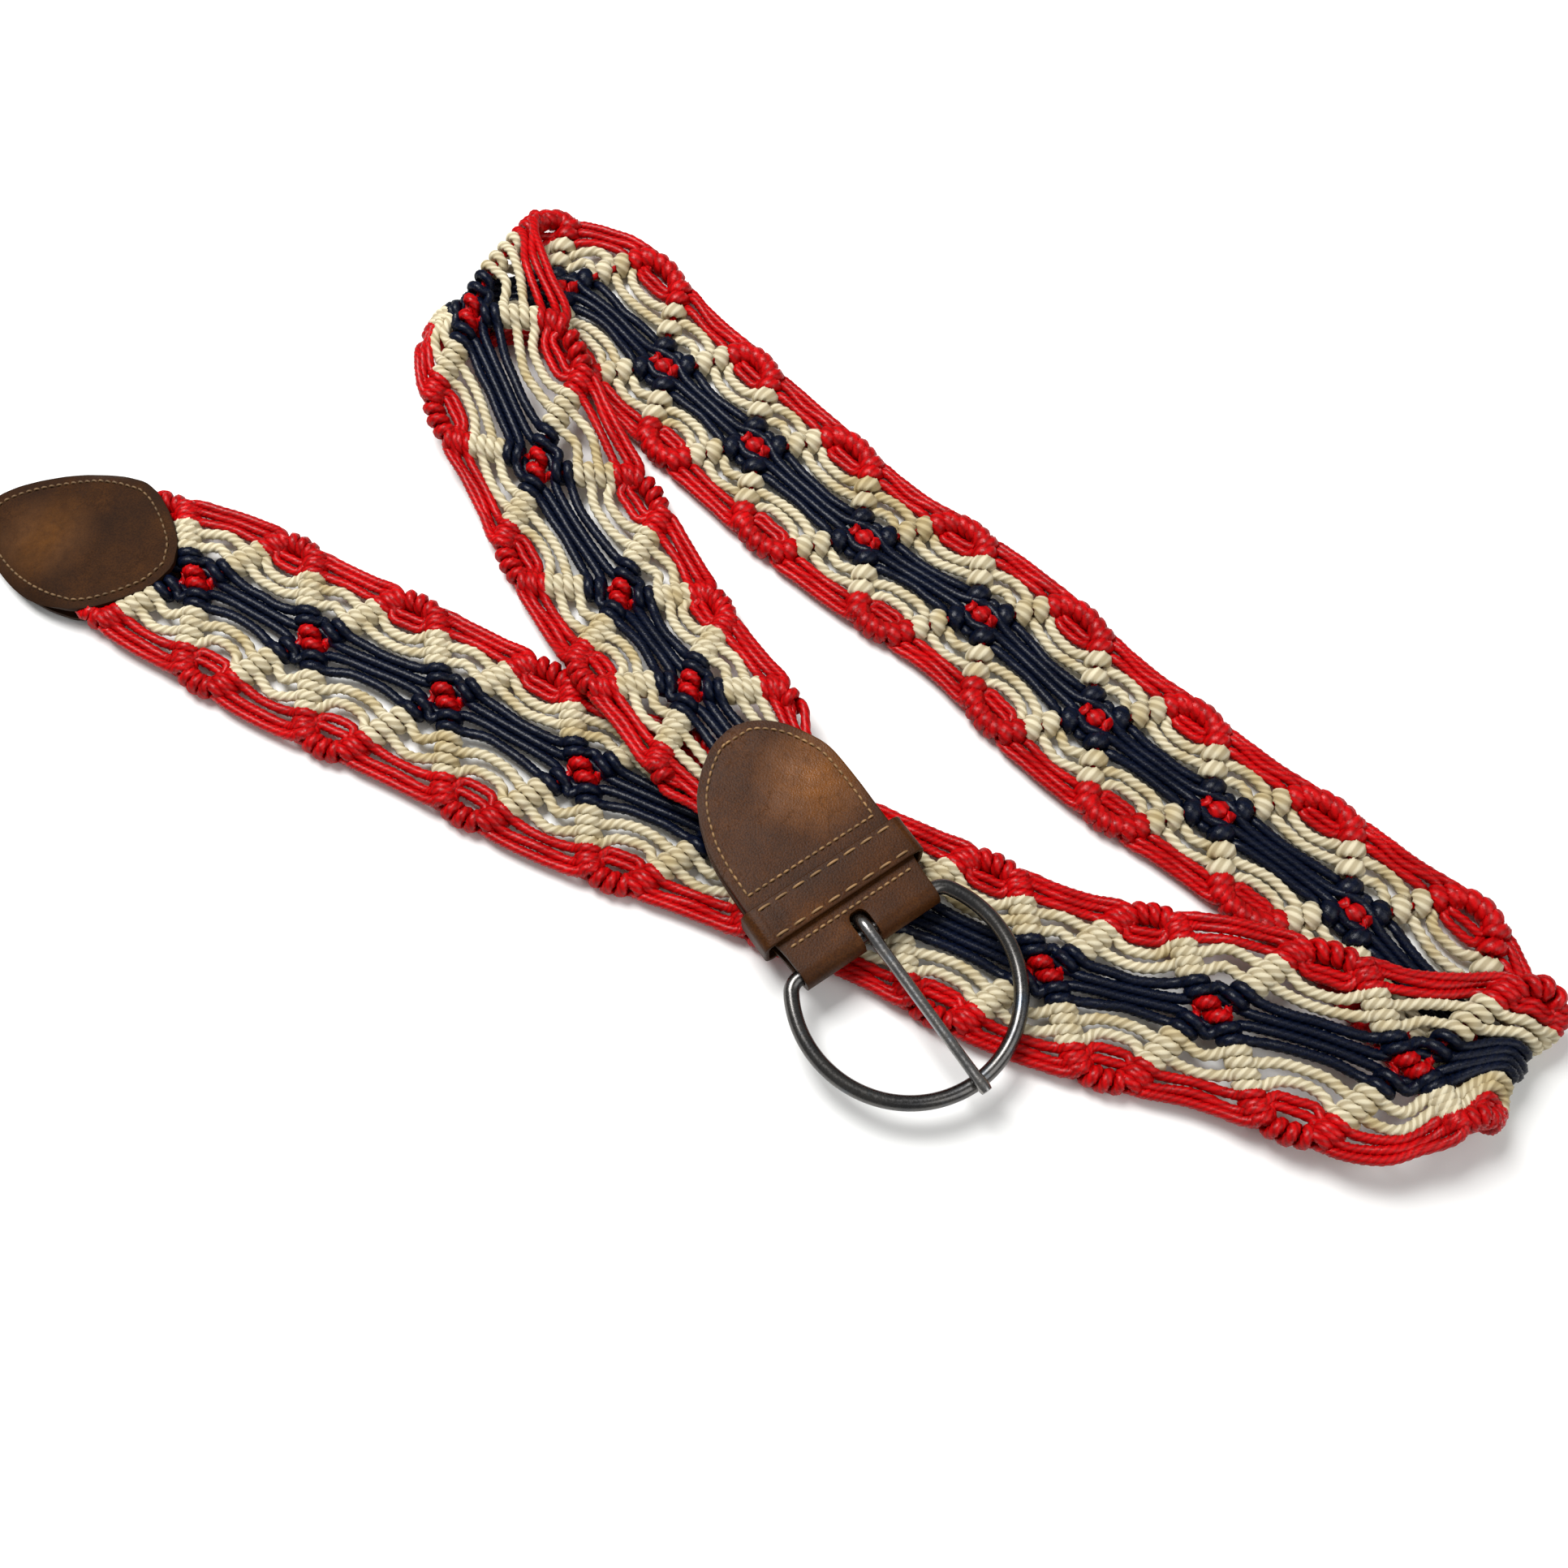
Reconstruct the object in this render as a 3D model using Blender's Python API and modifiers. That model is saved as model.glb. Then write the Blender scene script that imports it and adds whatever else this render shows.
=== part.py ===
import math

import bmesh
import bpy
import numpy as np
from mathutils import Matrix, Vector

# Named sizes in metres
MM = 0.001
GRID = 100.0 * MM
HALF_BAND = 25.0 * MM
LAYER = 4.5 * MM
KNOT_THICK = 4.2 * MM
CORD_THICK = 2.4 * MM
SQUEEZED_THICK = 3.1 * MM
LEATHER = 1.5 * MM
CLEAR = 0.3 * MM
TIP_LENGTH = 62.5 * MM
TIP_HALF_WIDTH = 22.4 * MM
TIP_FRONT_END = 31.5 * MM
TIP_LIFT = 3.6 * MM
TIP_HEADING = -20.0
TAB_LENGTH = 66.0 * MM
TAB_HALF_WIDTH = 22.0 * MM
TAB_SLOPE = 0.9 * MM
SLOT_SHARE = 0.13
WIRE_RADIUS = 2.0 * MM
RING_RADIUS = 28.7 * MM
RING_AHEAD = 17.0 * MM
RING_CORNER = 4.5 * MM
RING_DROOP = -2.0
PRONG_RADIUS = 1.5 * MM
PRONG_REACH = 49.2 * MM
KEEPER_FRONT = 8.0 * MM
KEEPER_WIDTH = 13.0 * MM
KEEPER_HALF = 23.9 * MM
KEEPER_THICK = 1.4 * MM
KEEPER_CORNER = 2.2 * MM
BAR_HEIGHT = 10.2 * MM
BAR_CENTRE = Vector((2.228 * GRID, -1.208 * GRID, BAR_HEIGHT))
BUCKLE_HEADING = -55.4

# Lay of the band: repeats from the first red square, centre line in shares of GRID,
# turn of the cross line, left and right half widths in shares of HALF_BAND and
# heights of the left and right edge in shares of LAYER
LAY = [
    # repeat, x, y, turn, left, right, left height, right height
    (-0.80, 0.03, -0.01, 70, 0.64, 0.64, 0.74, 0.74),
    (-0.55, 0.13, -0.05, 68, 0.82, 0.80, 0.76, 0.76),
    (-0.25, 0.245, -0.09, 64, 0.90, 0.98, 0.77, 0.77),
    (0.00, 0.35, -0.128, 61, 0.94, 1.08, 0.66, 0.66),
    (1.00, 0.70, -0.32, 63, 0.98, 1.14, 0.50, 0.50),
    (2.00, 1.09, -0.50, 64, 0.90, 1.16, 0.50, 0.50),
    (3.00, 1.48, -0.725, 63, 0.88, 1.10, 0.50, 0.50),
    (4.00, 1.88, -0.91, 63, 0.92, 0.98, 0.50, 0.50),
    (5.00, 2.285, -1.095, 65, 0.94, 0.92, 0.50, 0.50),
    (6.00, 2.685, -1.28, 68, 0.90, 0.98, 0.52, 0.50),
    (6.60, 2.93, -1.355, 70, 0.94, 0.98, 0.90, 0.56),
    (7.00, 3.09, -1.395, 71, 0.96, 0.96, 1.75, 0.80),
    (7.50, 3.32, -1.47, 70, 0.94, 1.04, 2.15, 1.50),
    (8.00, 3.545, -1.55, 68, 0.98, 0.98, 2.60, 2.30),
    (8.50, 3.773, -1.527, 56, 0.86, 0.74, 2.86, 2.76),
    (8.70, 3.815, -1.56, 50, 0.86, 0.68, 1.68, 1.68),
    (8.92, 3.77, -1.52, 47, 0.94, 0.72, 0.50, 0.50),
    (9.40, 3.64, -1.33, 41, 1.18, 0.78, 0.50, 0.50),
    (10.00, 3.49, -1.132, 46, 0.94, 0.80, 0.50, 0.50),
    (11.00, 3.17, -0.843, 47, 0.88, 0.86, 0.50, 0.50),
    (12.00, 2.868, -0.57, 46, 0.92, 0.96, 0.50, 0.50),
    (13.00, 2.573, -0.247, 47, 0.90, 0.92, 0.50, 0.50),
    (14.00, 2.25, 0.007, 48, 0.92, 0.90, 0.50, 0.50),
    (15.00, 1.934, 0.329, 46, 0.94, 0.94, 0.50, 0.50),
    (16.00, 1.656, 0.62, 48, 1.00, 0.92, 0.50, 0.50),
    (17.00, 1.321, 0.919, 56, 1.16, 0.94, 0.50, 0.50),
    (17.33, 1.178, 0.914, 58, 1.40, 0.98, 0.50, 0.50),
    (17.50, 1.108, 0.898, 58, 1.46, 0.94, 0.84, 0.84),
    (17.67, 1.064, 0.867, 58, 1.48, 0.90, 1.68, 1.68),
    (17.83, 1.056, 0.813, 57, 1.40, 0.90, 2.52, 2.52),
    (18.00, 1.074, 0.743, 52, 1.28, 0.90, 2.90, 2.84),
    (18.50, 1.18, 0.50, 30, 1.06, 0.88, 2.30, 1.60),
    (19.00, 1.298, 0.245, 28, 1.06, 0.84, 1.75, 0.75),
    (19.50, 1.42, 0.03, 30, 1.06, 0.88, 0.75, 0.50),
    (20.00, 1.557, -0.175, 31, 0.98, 0.96, 0.50, 0.60),
    (20.50, 1.66, -0.34, 33, 0.92, 0.96, 0.90, 1.65),
    (21.00, 1.765, -0.50, 34, 0.88, 0.92, 1.75, 2.15),
    (21.30, 1.838, -0.61, 34.6, 0.88, 0.90, 2.17, 2.17),
    (21.60, 1.91, -0.714, 34.6, 0.78, 0.80, 2.17, 2.17),
    (21.90, 1.975, -0.822, 34.6, 0.66, 0.66, 2.17, 2.17),
]
FIRST_REPEAT = 0
LAST_REPEAT = 21
FOLDS = ((8.1, 9.3), (17.0, 18.2))
FOLD_STEP = 0.10

# Knot pattern: each arm of a knotted cross leaves the red square at this slope
ARM_SLOPE = 0.335
ARM_HALF = 0.062
NAVY = {
    "square": (-0.30, 0.0, 0.30),
    "arm": (-0.30, 0.0, 0.30),
    "between": (-0.17, 0.0, 0.17),
    "end": (-0.24, 0.0, 0.24),
}
CREAM = {
    "square": (0.45, 0.55, 0.65, 0.75),
    "arm": (0.315, 0.43, 0.63, 0.745),
    "between": (0.27, 0.37, 0.43, 0.53),
    "end": (0.28, 0.40, 0.58, 0.72),
}
RED = {
    "square": (0.77, 0.99),
    "arm": (0.76, 1.0),
    "between": (0.64, 1.05),
    "end": (0.75, 1.0),
}

# Tip outline from its free end, in shares of TIP_LENGTH, TIP_HALF_WIDTH and TIP_LIFT
TIP_ROWS = [
    # place, half width, lift in the middle, lift at the rim
    (0.000, 0.05, 0.00, 0.00),
    (0.015, 0.20, 0.00, 0.00),
    (0.06, 0.38, 0.00, 0.00),
    (0.15, 0.60, 0.02, 0.00),
    (0.26, 0.78, 0.12, 0.00),
    (0.37, 0.90, 0.50, 0.05),
    (0.47, 0.97, 0.92, 0.25),
    (0.57, 1.00, 1.00, 0.55),
    (0.65, 1.00, 1.00, 0.90),
    (0.73, 0.93, 1.00, 1.00),
    (0.82, 0.76, 1.00, 1.00),
    (0.90, 0.55, 1.00, 1.00),
    (0.965, 0.32, 1.00, 1.00),
    (1.00, 0.05, 1.00, 1.00),
]
TIP_COLUMNS = (-1.0, -0.85, -0.5, 0.0, 0.5, 0.85, 1.0)

# Tab outline from the bar to the domed end, in shares of TAB_LENGTH and TAB_HALF_WIDTH
TAB_ROWS = [
    # place, half width, lean
    (0.00, 0.93, 0.00),
    (0.085, 0.94, 0.00),
    (0.16, 0.97, 0.00),
    (0.34, 1.00, -0.01),
    (0.48, 1.00, 0.00),
    (0.60, 0.98, 0.02),
    (0.72, 0.91, 0.06),
    (0.81, 0.79, 0.07),
    (0.89, 0.62, 0.10),
    (0.95, 0.42, 0.12),
    (0.985, 0.24, 0.13),
    (1.00, 0.06, 0.14),
]
TAB_COLUMNS = (-1.0, -0.6, -SLOT_SHARE, SLOT_SHARE, 0.6, 1.0)
BEND_STEPS = 6


def clear_scene():
    for item in list(bpy.data.objects):
        bpy.data.objects.remove(item, do_unlink=True)


def make_collection(name):
    group = bpy.data.collections.new(name)
    bpy.context.scene.collection.children.link(group)
    return group


def make_material(name, colour, roughness, metallic):
    material = bpy.data.materials.new(name)
    material.use_nodes = True
    shader = material.node_tree.nodes["Principled BSDF"]
    shader.inputs["Base Color"].default_value = (*colour, 1.0)
    shader.inputs["Roughness"].default_value = roughness
    shader.inputs["Metallic"].default_value = metallic
    material.diffuse_color = (*colour, 1.0)
    return material


def knot_slopes(places, values):
    # Slopes of a smooth curve that never overshoots its knots
    gaps = np.diff(places)
    rises = np.diff(values) / gaps
    slopes = np.zeros(len(values))
    slopes[0] = rises[0]
    slopes[-1] = rises[-1]
    for i in range(1, len(values) - 1):
        if rises[i - 1] * rises[i] > 0.0:
            first = 2.0 * gaps[i] + gaps[i - 1]
            second = gaps[i] + 2.0 * gaps[i - 1]
            slopes[i] = (first + second) / (first / rises[i - 1] + second / rises[i])
    return slopes


def smooth_value(places, values, slopes, at):
    i = int(np.clip(np.searchsorted(places, at) - 1, 0, len(places) - 2))
    gap = places[i + 1] - places[i]
    t = (at - places[i]) / gap
    start = (1.0 + 2.0 * t) * (1.0 - t) ** 2 * values[i]
    leave = t * (1.0 - t) ** 2 * gap * slopes[i]
    end = t * t * (3.0 - 2.0 * t) * values[i + 1]
    arrive = t * t * (t - 1.0) * gap * slopes[i + 1]
    return start + leave + end + arrive


LAY_TABLE = np.array(LAY, dtype=float)
LAY_SLOPES = [knot_slopes(LAY_TABLE[:, 0], LAY_TABLE[:, k]) for k in range(1, 8)]


def lay_at(repeat):
    places = LAY_TABLE[:, 0]
    return [
        float(smooth_value(places, LAY_TABLE[:, k + 1], LAY_SLOPES[k], repeat))
        for k in range(7)
    ]


def band_point(repeat, share):
    # Middle of the band's thickness at a repeat and a share of the half width
    x, y, turn, left, right, left_high, right_high = lay_at(repeat)
    reach = share * HALF_BAND * (left if share > 0.0 else right)
    angle = math.radians(turn)
    middle = 0.5 * (left_high + right_high)
    height = LAYER * (middle + 0.5 * share * (left_high - right_high))
    across = Vector((math.cos(angle), math.sin(angle), 0.0))
    return Vector((x * GRID, y * GRID, height)) + reach * across


def pattern_rows(stripe):
    # Rows that follow the knotted arms, each a list of repeat, share and thickness
    rows = []
    first = LAY[0][0]
    last = LAY[-1][0]
    rows.append([(first, c, CORD_THICK) for c in stripe["end"]])
    inner_arm = stripe is not NAVY
    for count in range(FIRST_REPEAT, LAST_REPEAT + 1):
        if count == FIRST_REPEAT:
            rows.append([(count - 0.5, c, CORD_THICK) for c in stripe["between"]])
        rows.append(arm_row(stripe, count, -1, ARM_HALF))
        if inner_arm:
            rows.append(arm_row(stripe, count, -1, -ARM_HALF))
        middle_thick = CORD_THICK if inner_arm else KNOT_THICK
        rows.append([(count, c, middle_thick) for c in stripe["square"]])
        if inner_arm:
            rows.append(arm_row(stripe, count, 1, -ARM_HALF))
        rows.append(arm_row(stripe, count, 1, ARM_HALF))
        rows.append([(count + 0.5, c, CORD_THICK) for c in stripe["between"]])
    rows.append([(last, c, CORD_THICK) for c in stripe["end"]])
    return rows


def arm_row(stripe, count, way, offset):
    squeezed = (count == FIRST_REPEAT and way < 0) or (count == LAST_REPEAT and way > 0)
    thick = SQUEEZED_THICK if squeezed else KNOT_THICK
    row = []
    for share in stripe["arm"]:
        place = count + way * (ARM_SLOPE * abs(share) + offset)
        row.append((place, share, thick))
    return row


def refine_rows(rows):
    # Extra rows where the band turns over
    done = [(rows[0], 0)]
    for index in range(1, len(rows)):
        before = rows[index - 1]
        after = rows[index]
        place = 0.5 * (before[0][0] + after[0][0])
        length = max(b[0] - a[0] for a, b in zip(before, after))
        pieces = 1
        if any(low < place < high for low, high in FOLDS):
            pieces = max(1, math.ceil(length / FOLD_STEP))
        for piece in range(1, pieces + 1):
            t = piece / pieces
            row = [
                tuple(a[k] + t * (b[k] - a[k]) for k in range(3))
                for a, b in zip(before, after)
            ]
            done.append((row, index))
    return done


def band_normal(repeat, share):
    step = 0.02
    along = band_point(repeat + step, share) - band_point(repeat - step, share)
    across = band_point(repeat, share + step) - band_point(repeat, share - step)
    return along.cross(across).normalized()


def stripe_mesh(name, stripe, side, open_middle):
    # The faces stand off along the band's own normal, so that stripes stay apart
    rows = refine_rows(pattern_rows(stripe))
    count = len(pattern_rows(stripe))
    points = []
    normals = []
    for row, _ in rows:
        for place, share, thick in row:
            points.append(band_point(place, side * share))
            normals.append(band_normal(place, side * share) * 0.5 * thick)
    width = len(rows[0][0])
    cells = []
    for i in range(len(rows) - 1):
        for j in range(width - 1):
            if open_middle and j == 1 and is_open(rows[i + 1][1], count):
                continue
            a = i * width + j
            cell = [a, a + width, a + width + 1, a + 1]
            if side < 0:
                cell.reverse()
            cells.append(cell)
    return shell_mesh(name, points, normals, cells)


def shell_mesh(name, points, normals, cells):
    mesh = bmesh.new()
    used = sorted({corner for cell in cells for corner in cell})
    front = {k: mesh.verts.new(points[k] + normals[k]) for k in used}
    back = {k: mesh.verts.new(points[k] - normals[k]) for k in used}
    edges = set()
    for cell in cells:
        mesh.faces.new([front[k] for k in cell])
        mesh.faces.new([back[k] for k in reversed(cell)])
        edges.update(zip(cell, cell[1:] + cell[:1]))
    for a, b in edges:
        if (b, a) not in edges:
            mesh.faces.new((front[b], front[a], back[a], back[b]))
    data = bpy.data.meshes.new(name)
    mesh.to_mesh(data)
    mesh.free()
    return data


def is_open(span, count):
    # Spans run end, between, arm, arm, square and so on: the free cords are open
    if span < 3 or span > count - 3:
        return False
    return (span - 2) % 6 in (0, 2, 3, 5)


def add_object(name, data, group, material):
    item = bpy.data.objects.new(name, data)
    group.objects.link(item)
    data.materials.append(material)
    return item


def thicken(item, thickness, offset=0.0):
    solid = item.modifiers.new("Thickness", "SOLIDIFY")
    solid.thickness = thickness
    solid.offset = offset
    solid.use_even_offset = False
    return solid


def add_stripe(name, stripe, side, open_middle, group, material):
    data = stripe_mesh(name, stripe, side, open_middle)
    add_object(name, data, group, material)


def grid_mesh(name, points, skip):
    mesh = bmesh.new()
    grid = [[mesh.verts.new(p) for p in row] for row in points]
    for i in range(len(grid) - 1):
        for j in range(len(grid[i]) - 1):
            if (i, j) in skip:
                continue
            cell = (grid[i][j], grid[i + 1][j], grid[i + 1][j + 1], grid[i][j + 1])
            mesh.faces.new(cell)
    data = bpy.data.meshes.new(name)
    mesh.to_mesh(data)
    mesh.free()
    return data


def tip_points(base, lifted):
    turn = Matrix.Rotation(math.radians(TIP_HEADING), 3, "Z")
    rows = []
    for place, half, lift_middle, lift_rim in TIP_ROWS:
        row = []
        for share in TIP_COLUMNS:
            lift = lift_rim + (lift_middle - lift_rim) * (1.0 - abs(share) ** 8)
            along = place * TIP_LENGTH - TIP_FRONT_END
            height = base + (lift * TIP_LIFT if lifted else 0.0)
            row.append(turn @ Vector((along, share * half * TIP_HALF_WIDTH, height)))
        rows.append(row)
    return rows


def add_tip(group, material_front, material_back):
    back = grid_mesh("tip_back", tip_points(0.0, False), ())
    item = add_object("tip_back", back, group, material_back)
    thicken(item, LEATHER, 1.0)
    front = grid_mesh("tip_front", tip_points(LEATHER + CLEAR, True), ())
    item = add_object("tip_front", front, group, material_front)
    thicken(item, LEATHER, 1.0)


def buckle_frame():
    # Local X runs ahead of the bar, Y along the bar, Z up
    place = Matrix.Translation(BAR_CENTRE)
    return place @ Matrix.Rotation(math.radians(BUCKLE_HEADING), 4, "Z")


def tab_row(place, half, lean, height):
    row = []
    for share in TAB_COLUMNS:
        across = (share * half + lean) * TAB_HALF_WIDTH
        row.append(Vector((-place * TAB_LENGTH, across, height)))
    return row


def tab_points():
    reach = WIRE_RADIUS + CLEAR + 0.5 * LEATHER
    upper = []
    for place, half, lean in reversed(TAB_ROWS):
        upper.append(tab_row(place, half, lean, reach - TAB_SLOPE * place))
    bend = []
    for step in range(1, BEND_STEPS):
        angle = math.pi * (0.5 - step / BEND_STEPS)
        row = tab_row(0.0, TAB_ROWS[0][1], 0.0, reach * math.sin(angle))
        for point in row:
            point.x = reach * math.cos(angle)
        bend.append(row)
    lower = [tab_row(place, half, lean, -reach) for place, half, lean in TAB_ROWS]
    return upper + bend + lower


def add_tab(group, material):
    points = tab_points()
    middle = TAB_COLUMNS.index(-SLOT_SHARE)
    first = len(TAB_ROWS) - 2
    last = len(points) - len(TAB_ROWS)
    skip = {(i, middle) for i in range(first, last + 1)}
    data = grid_mesh("buckle_tab", points, skip)
    item = add_object("buckle_tab", data, group, material)
    thicken(item, LEATHER)
    item.matrix_world = buckle_frame()


def add_keeper(group, material):
    inside = WIRE_RADIUS + CLEAR + LEATHER + CLEAR + 0.5 * KEEPER_THICK
    outline = []
    corners = ((1, 1), (-1, 1), (-1, -1), (1, -1))
    for index, (side, level) in enumerate(corners):
        for step in range(4):
            angle = math.radians(90.0 * index + 30.0 * step)
            y = side * (KEEPER_HALF - KEEPER_CORNER) + KEEPER_CORNER * math.cos(angle)
            z = level * (inside - KEEPER_CORNER) + KEEPER_CORNER * math.sin(angle)
            outline.append((y, z))
    outline.append(outline[0])
    rows = []
    for y, z in outline[:-1]:
        row = []
        for share in (0.0, 0.5, 1.0):
            row.append(Vector((-KEEPER_FRONT - share * KEEPER_WIDTH, y, z)))
        rows.append(row)
    data = loop_mesh("keeper_loop", rows)
    item = add_object("keeper_loop", data, group, material)
    thicken(item, KEEPER_THICK)
    item.matrix_world = buckle_frame()


def loop_mesh(name, rows):
    mesh = bmesh.new()
    grid = [[mesh.verts.new(p) for p in row] for row in rows]
    for i in range(len(grid)):
        after = grid[(i + 1) % len(grid)]
        for j in range(len(grid[i]) - 1):
            mesh.faces.new((grid[i][j], grid[i][j + 1], after[j + 1], after[j]))
    data = bpy.data.meshes.new(name)
    mesh.to_mesh(data)
    mesh.free()
    return data


def wire_curve(name, points, radii, depth, closed):
    curve = bpy.data.curves.new(name, "CURVE")
    curve.dimensions = "3D"
    curve.bevel_depth = depth
    curve.bevel_resolution = 2
    curve.use_fill_caps = not closed
    spline = curve.splines.new("POLY")
    spline.points.add(len(points) - 1)
    for point, place, radius in zip(spline.points, points, radii):
        point.co = (*place, 1.0)
        point.radius = radius
    spline.use_cyclic_u = closed
    return curve


def ring_points():
    reach = RING_RADIUS - RING_CORNER
    ahead = RING_CORNER - RING_AHEAD
    half = math.sqrt(reach ** 2 - ahead ** 2)
    meet = math.atan2(half, ahead)
    points = [Vector((0.0, -half, 0.0)), Vector((0.0, half, 0.0))]
    for step in range(1, 5):
        angle = math.pi + (meet - math.pi) * step / 4
        points.append(Vector((
            RING_CORNER + RING_CORNER * math.cos(angle),
            half + RING_CORNER * math.sin(angle),
            0.0,
        )))
    for step in range(1, 29):
        angle = meet - 2.0 * meet * step / 29
        points.append(Vector((
            RING_AHEAD + RING_RADIUS * math.cos(angle),
            RING_RADIUS * math.sin(angle),
            0.0,
        )))
    for step in range(4, 0, -1):
        angle = -math.pi - (meet - math.pi) * step / 4
        points.append(Vector((
            RING_CORNER + RING_CORNER * math.cos(angle),
            -half + RING_CORNER * math.sin(angle),
            0.0,
        )))
    return points


def droop():
    return Matrix.Rotation(math.radians(-RING_DROOP), 4, "Y")


def add_ring(group, material):
    points = ring_points()
    curve = wire_curve("buckle_ring", points, [1.0] * len(points), WIRE_RADIUS, True)
    item = add_object("buckle_ring", curve, group, material)
    item.matrix_world = buckle_frame() @ droop()


def prong_points():
    # Hooked under and behind the bar, then straight out over the ring
    reach = WIRE_RADIUS + CLEAR + PRONG_RADIUS
    points = []
    radii = []
    for step in range(11):
        angle = math.radians(285.0 - 19.5 * step)
        points.append(Vector((reach * math.cos(angle), 0.0, reach * math.sin(angle))))
        radii.append(1.0)
    for share, radius in ((0.12, 1.0), (0.40, 0.95), (0.70, 0.92), (0.94, 0.90), (1.0, 0.8)):
        points.append(Vector((share * PRONG_REACH, 0.0, reach)))
        radii.append(radius)
    return points, radii


def add_prong(group, material):
    points, radii = prong_points()
    curve = wire_curve("prong", points, radii, PRONG_RADIUS, False)
    item = add_object("prong", curve, group, material)
    item.matrix_world = buckle_frame() @ droop()
    weld = item.modifiers.new("Weld", "WELD")
    weld.merge_threshold = 0.00005


def build():
    clear_scene()
    group = make_collection("macrame_belt")
    red = (0.62, 0.012, 0.018)
    cream = (0.74, 0.66, 0.48)
    navy = (0.012, 0.02, 0.06)
    add_stripe("navy_centre", NAVY, 1, False, group,
               make_material("navy_cord", navy, 0.5, 0.0))
    for side, word in ((1, "left"), (-1, "right")):
        add_stripe("cream_band_" + word, CREAM, side, True, group,
                   make_material("cream_cord_" + word, cream, 0.75, 0.0))
        add_stripe("red_edge_" + word, RED, side, False, group,
                   make_material("red_cord_" + word, red, 0.5, 0.0))
    add_tip(group, make_material("tip_leather", (0.11, 0.05, 0.02), 0.75, 0.0),
            make_material("tip_leather_back", (0.09, 0.04, 0.018), 0.8, 0.0))
    add_tab(group, make_material("tab_leather", (0.17, 0.065, 0.022), 0.5, 0.0))
    add_keeper(group, make_material("keeper_leather", (0.19, 0.075, 0.028), 0.5, 0.0))
    add_ring(group, make_material("ring_metal", (0.10, 0.10, 0.11), 0.3, 1.0))
    add_prong(group, make_material("prong_metal", (0.13, 0.13, 0.14), 0.3, 1.0))


build()
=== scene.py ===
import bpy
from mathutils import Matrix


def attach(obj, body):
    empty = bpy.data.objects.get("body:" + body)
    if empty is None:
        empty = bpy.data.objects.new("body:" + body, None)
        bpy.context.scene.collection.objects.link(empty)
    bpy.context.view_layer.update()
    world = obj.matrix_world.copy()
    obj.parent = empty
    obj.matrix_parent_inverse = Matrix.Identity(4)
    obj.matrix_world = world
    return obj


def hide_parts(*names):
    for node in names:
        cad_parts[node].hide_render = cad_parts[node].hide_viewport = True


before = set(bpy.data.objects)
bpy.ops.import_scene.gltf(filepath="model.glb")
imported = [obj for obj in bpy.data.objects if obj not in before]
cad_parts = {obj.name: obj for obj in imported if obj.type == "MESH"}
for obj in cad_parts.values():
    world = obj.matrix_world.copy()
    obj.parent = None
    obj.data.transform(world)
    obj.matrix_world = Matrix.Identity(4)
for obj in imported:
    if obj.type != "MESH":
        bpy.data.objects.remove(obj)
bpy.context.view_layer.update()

import math

import bpy
import numpy as np
from mathutils import Matrix, Vector

bl_info = {
    "name": "Macrame Belt",
    "version": (1, 0, 0),
    "blender": (4, 5, 0),
    "location": "3D View > Sidebar > Belt",
    "description": "Knotted cord belt with a leather tip, a buckle tab and a ring buckle",
    "category": "Object",
}

MM = 0.001
GRID = 100.0 * MM
HALF_BAND = 25.0 * MM
LAYER = 4.5 * MM
FIRST_SQUARE = 0
LAST_SQUARE = 21
BAND_START = -0.80
BAND_END = 21.9

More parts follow.
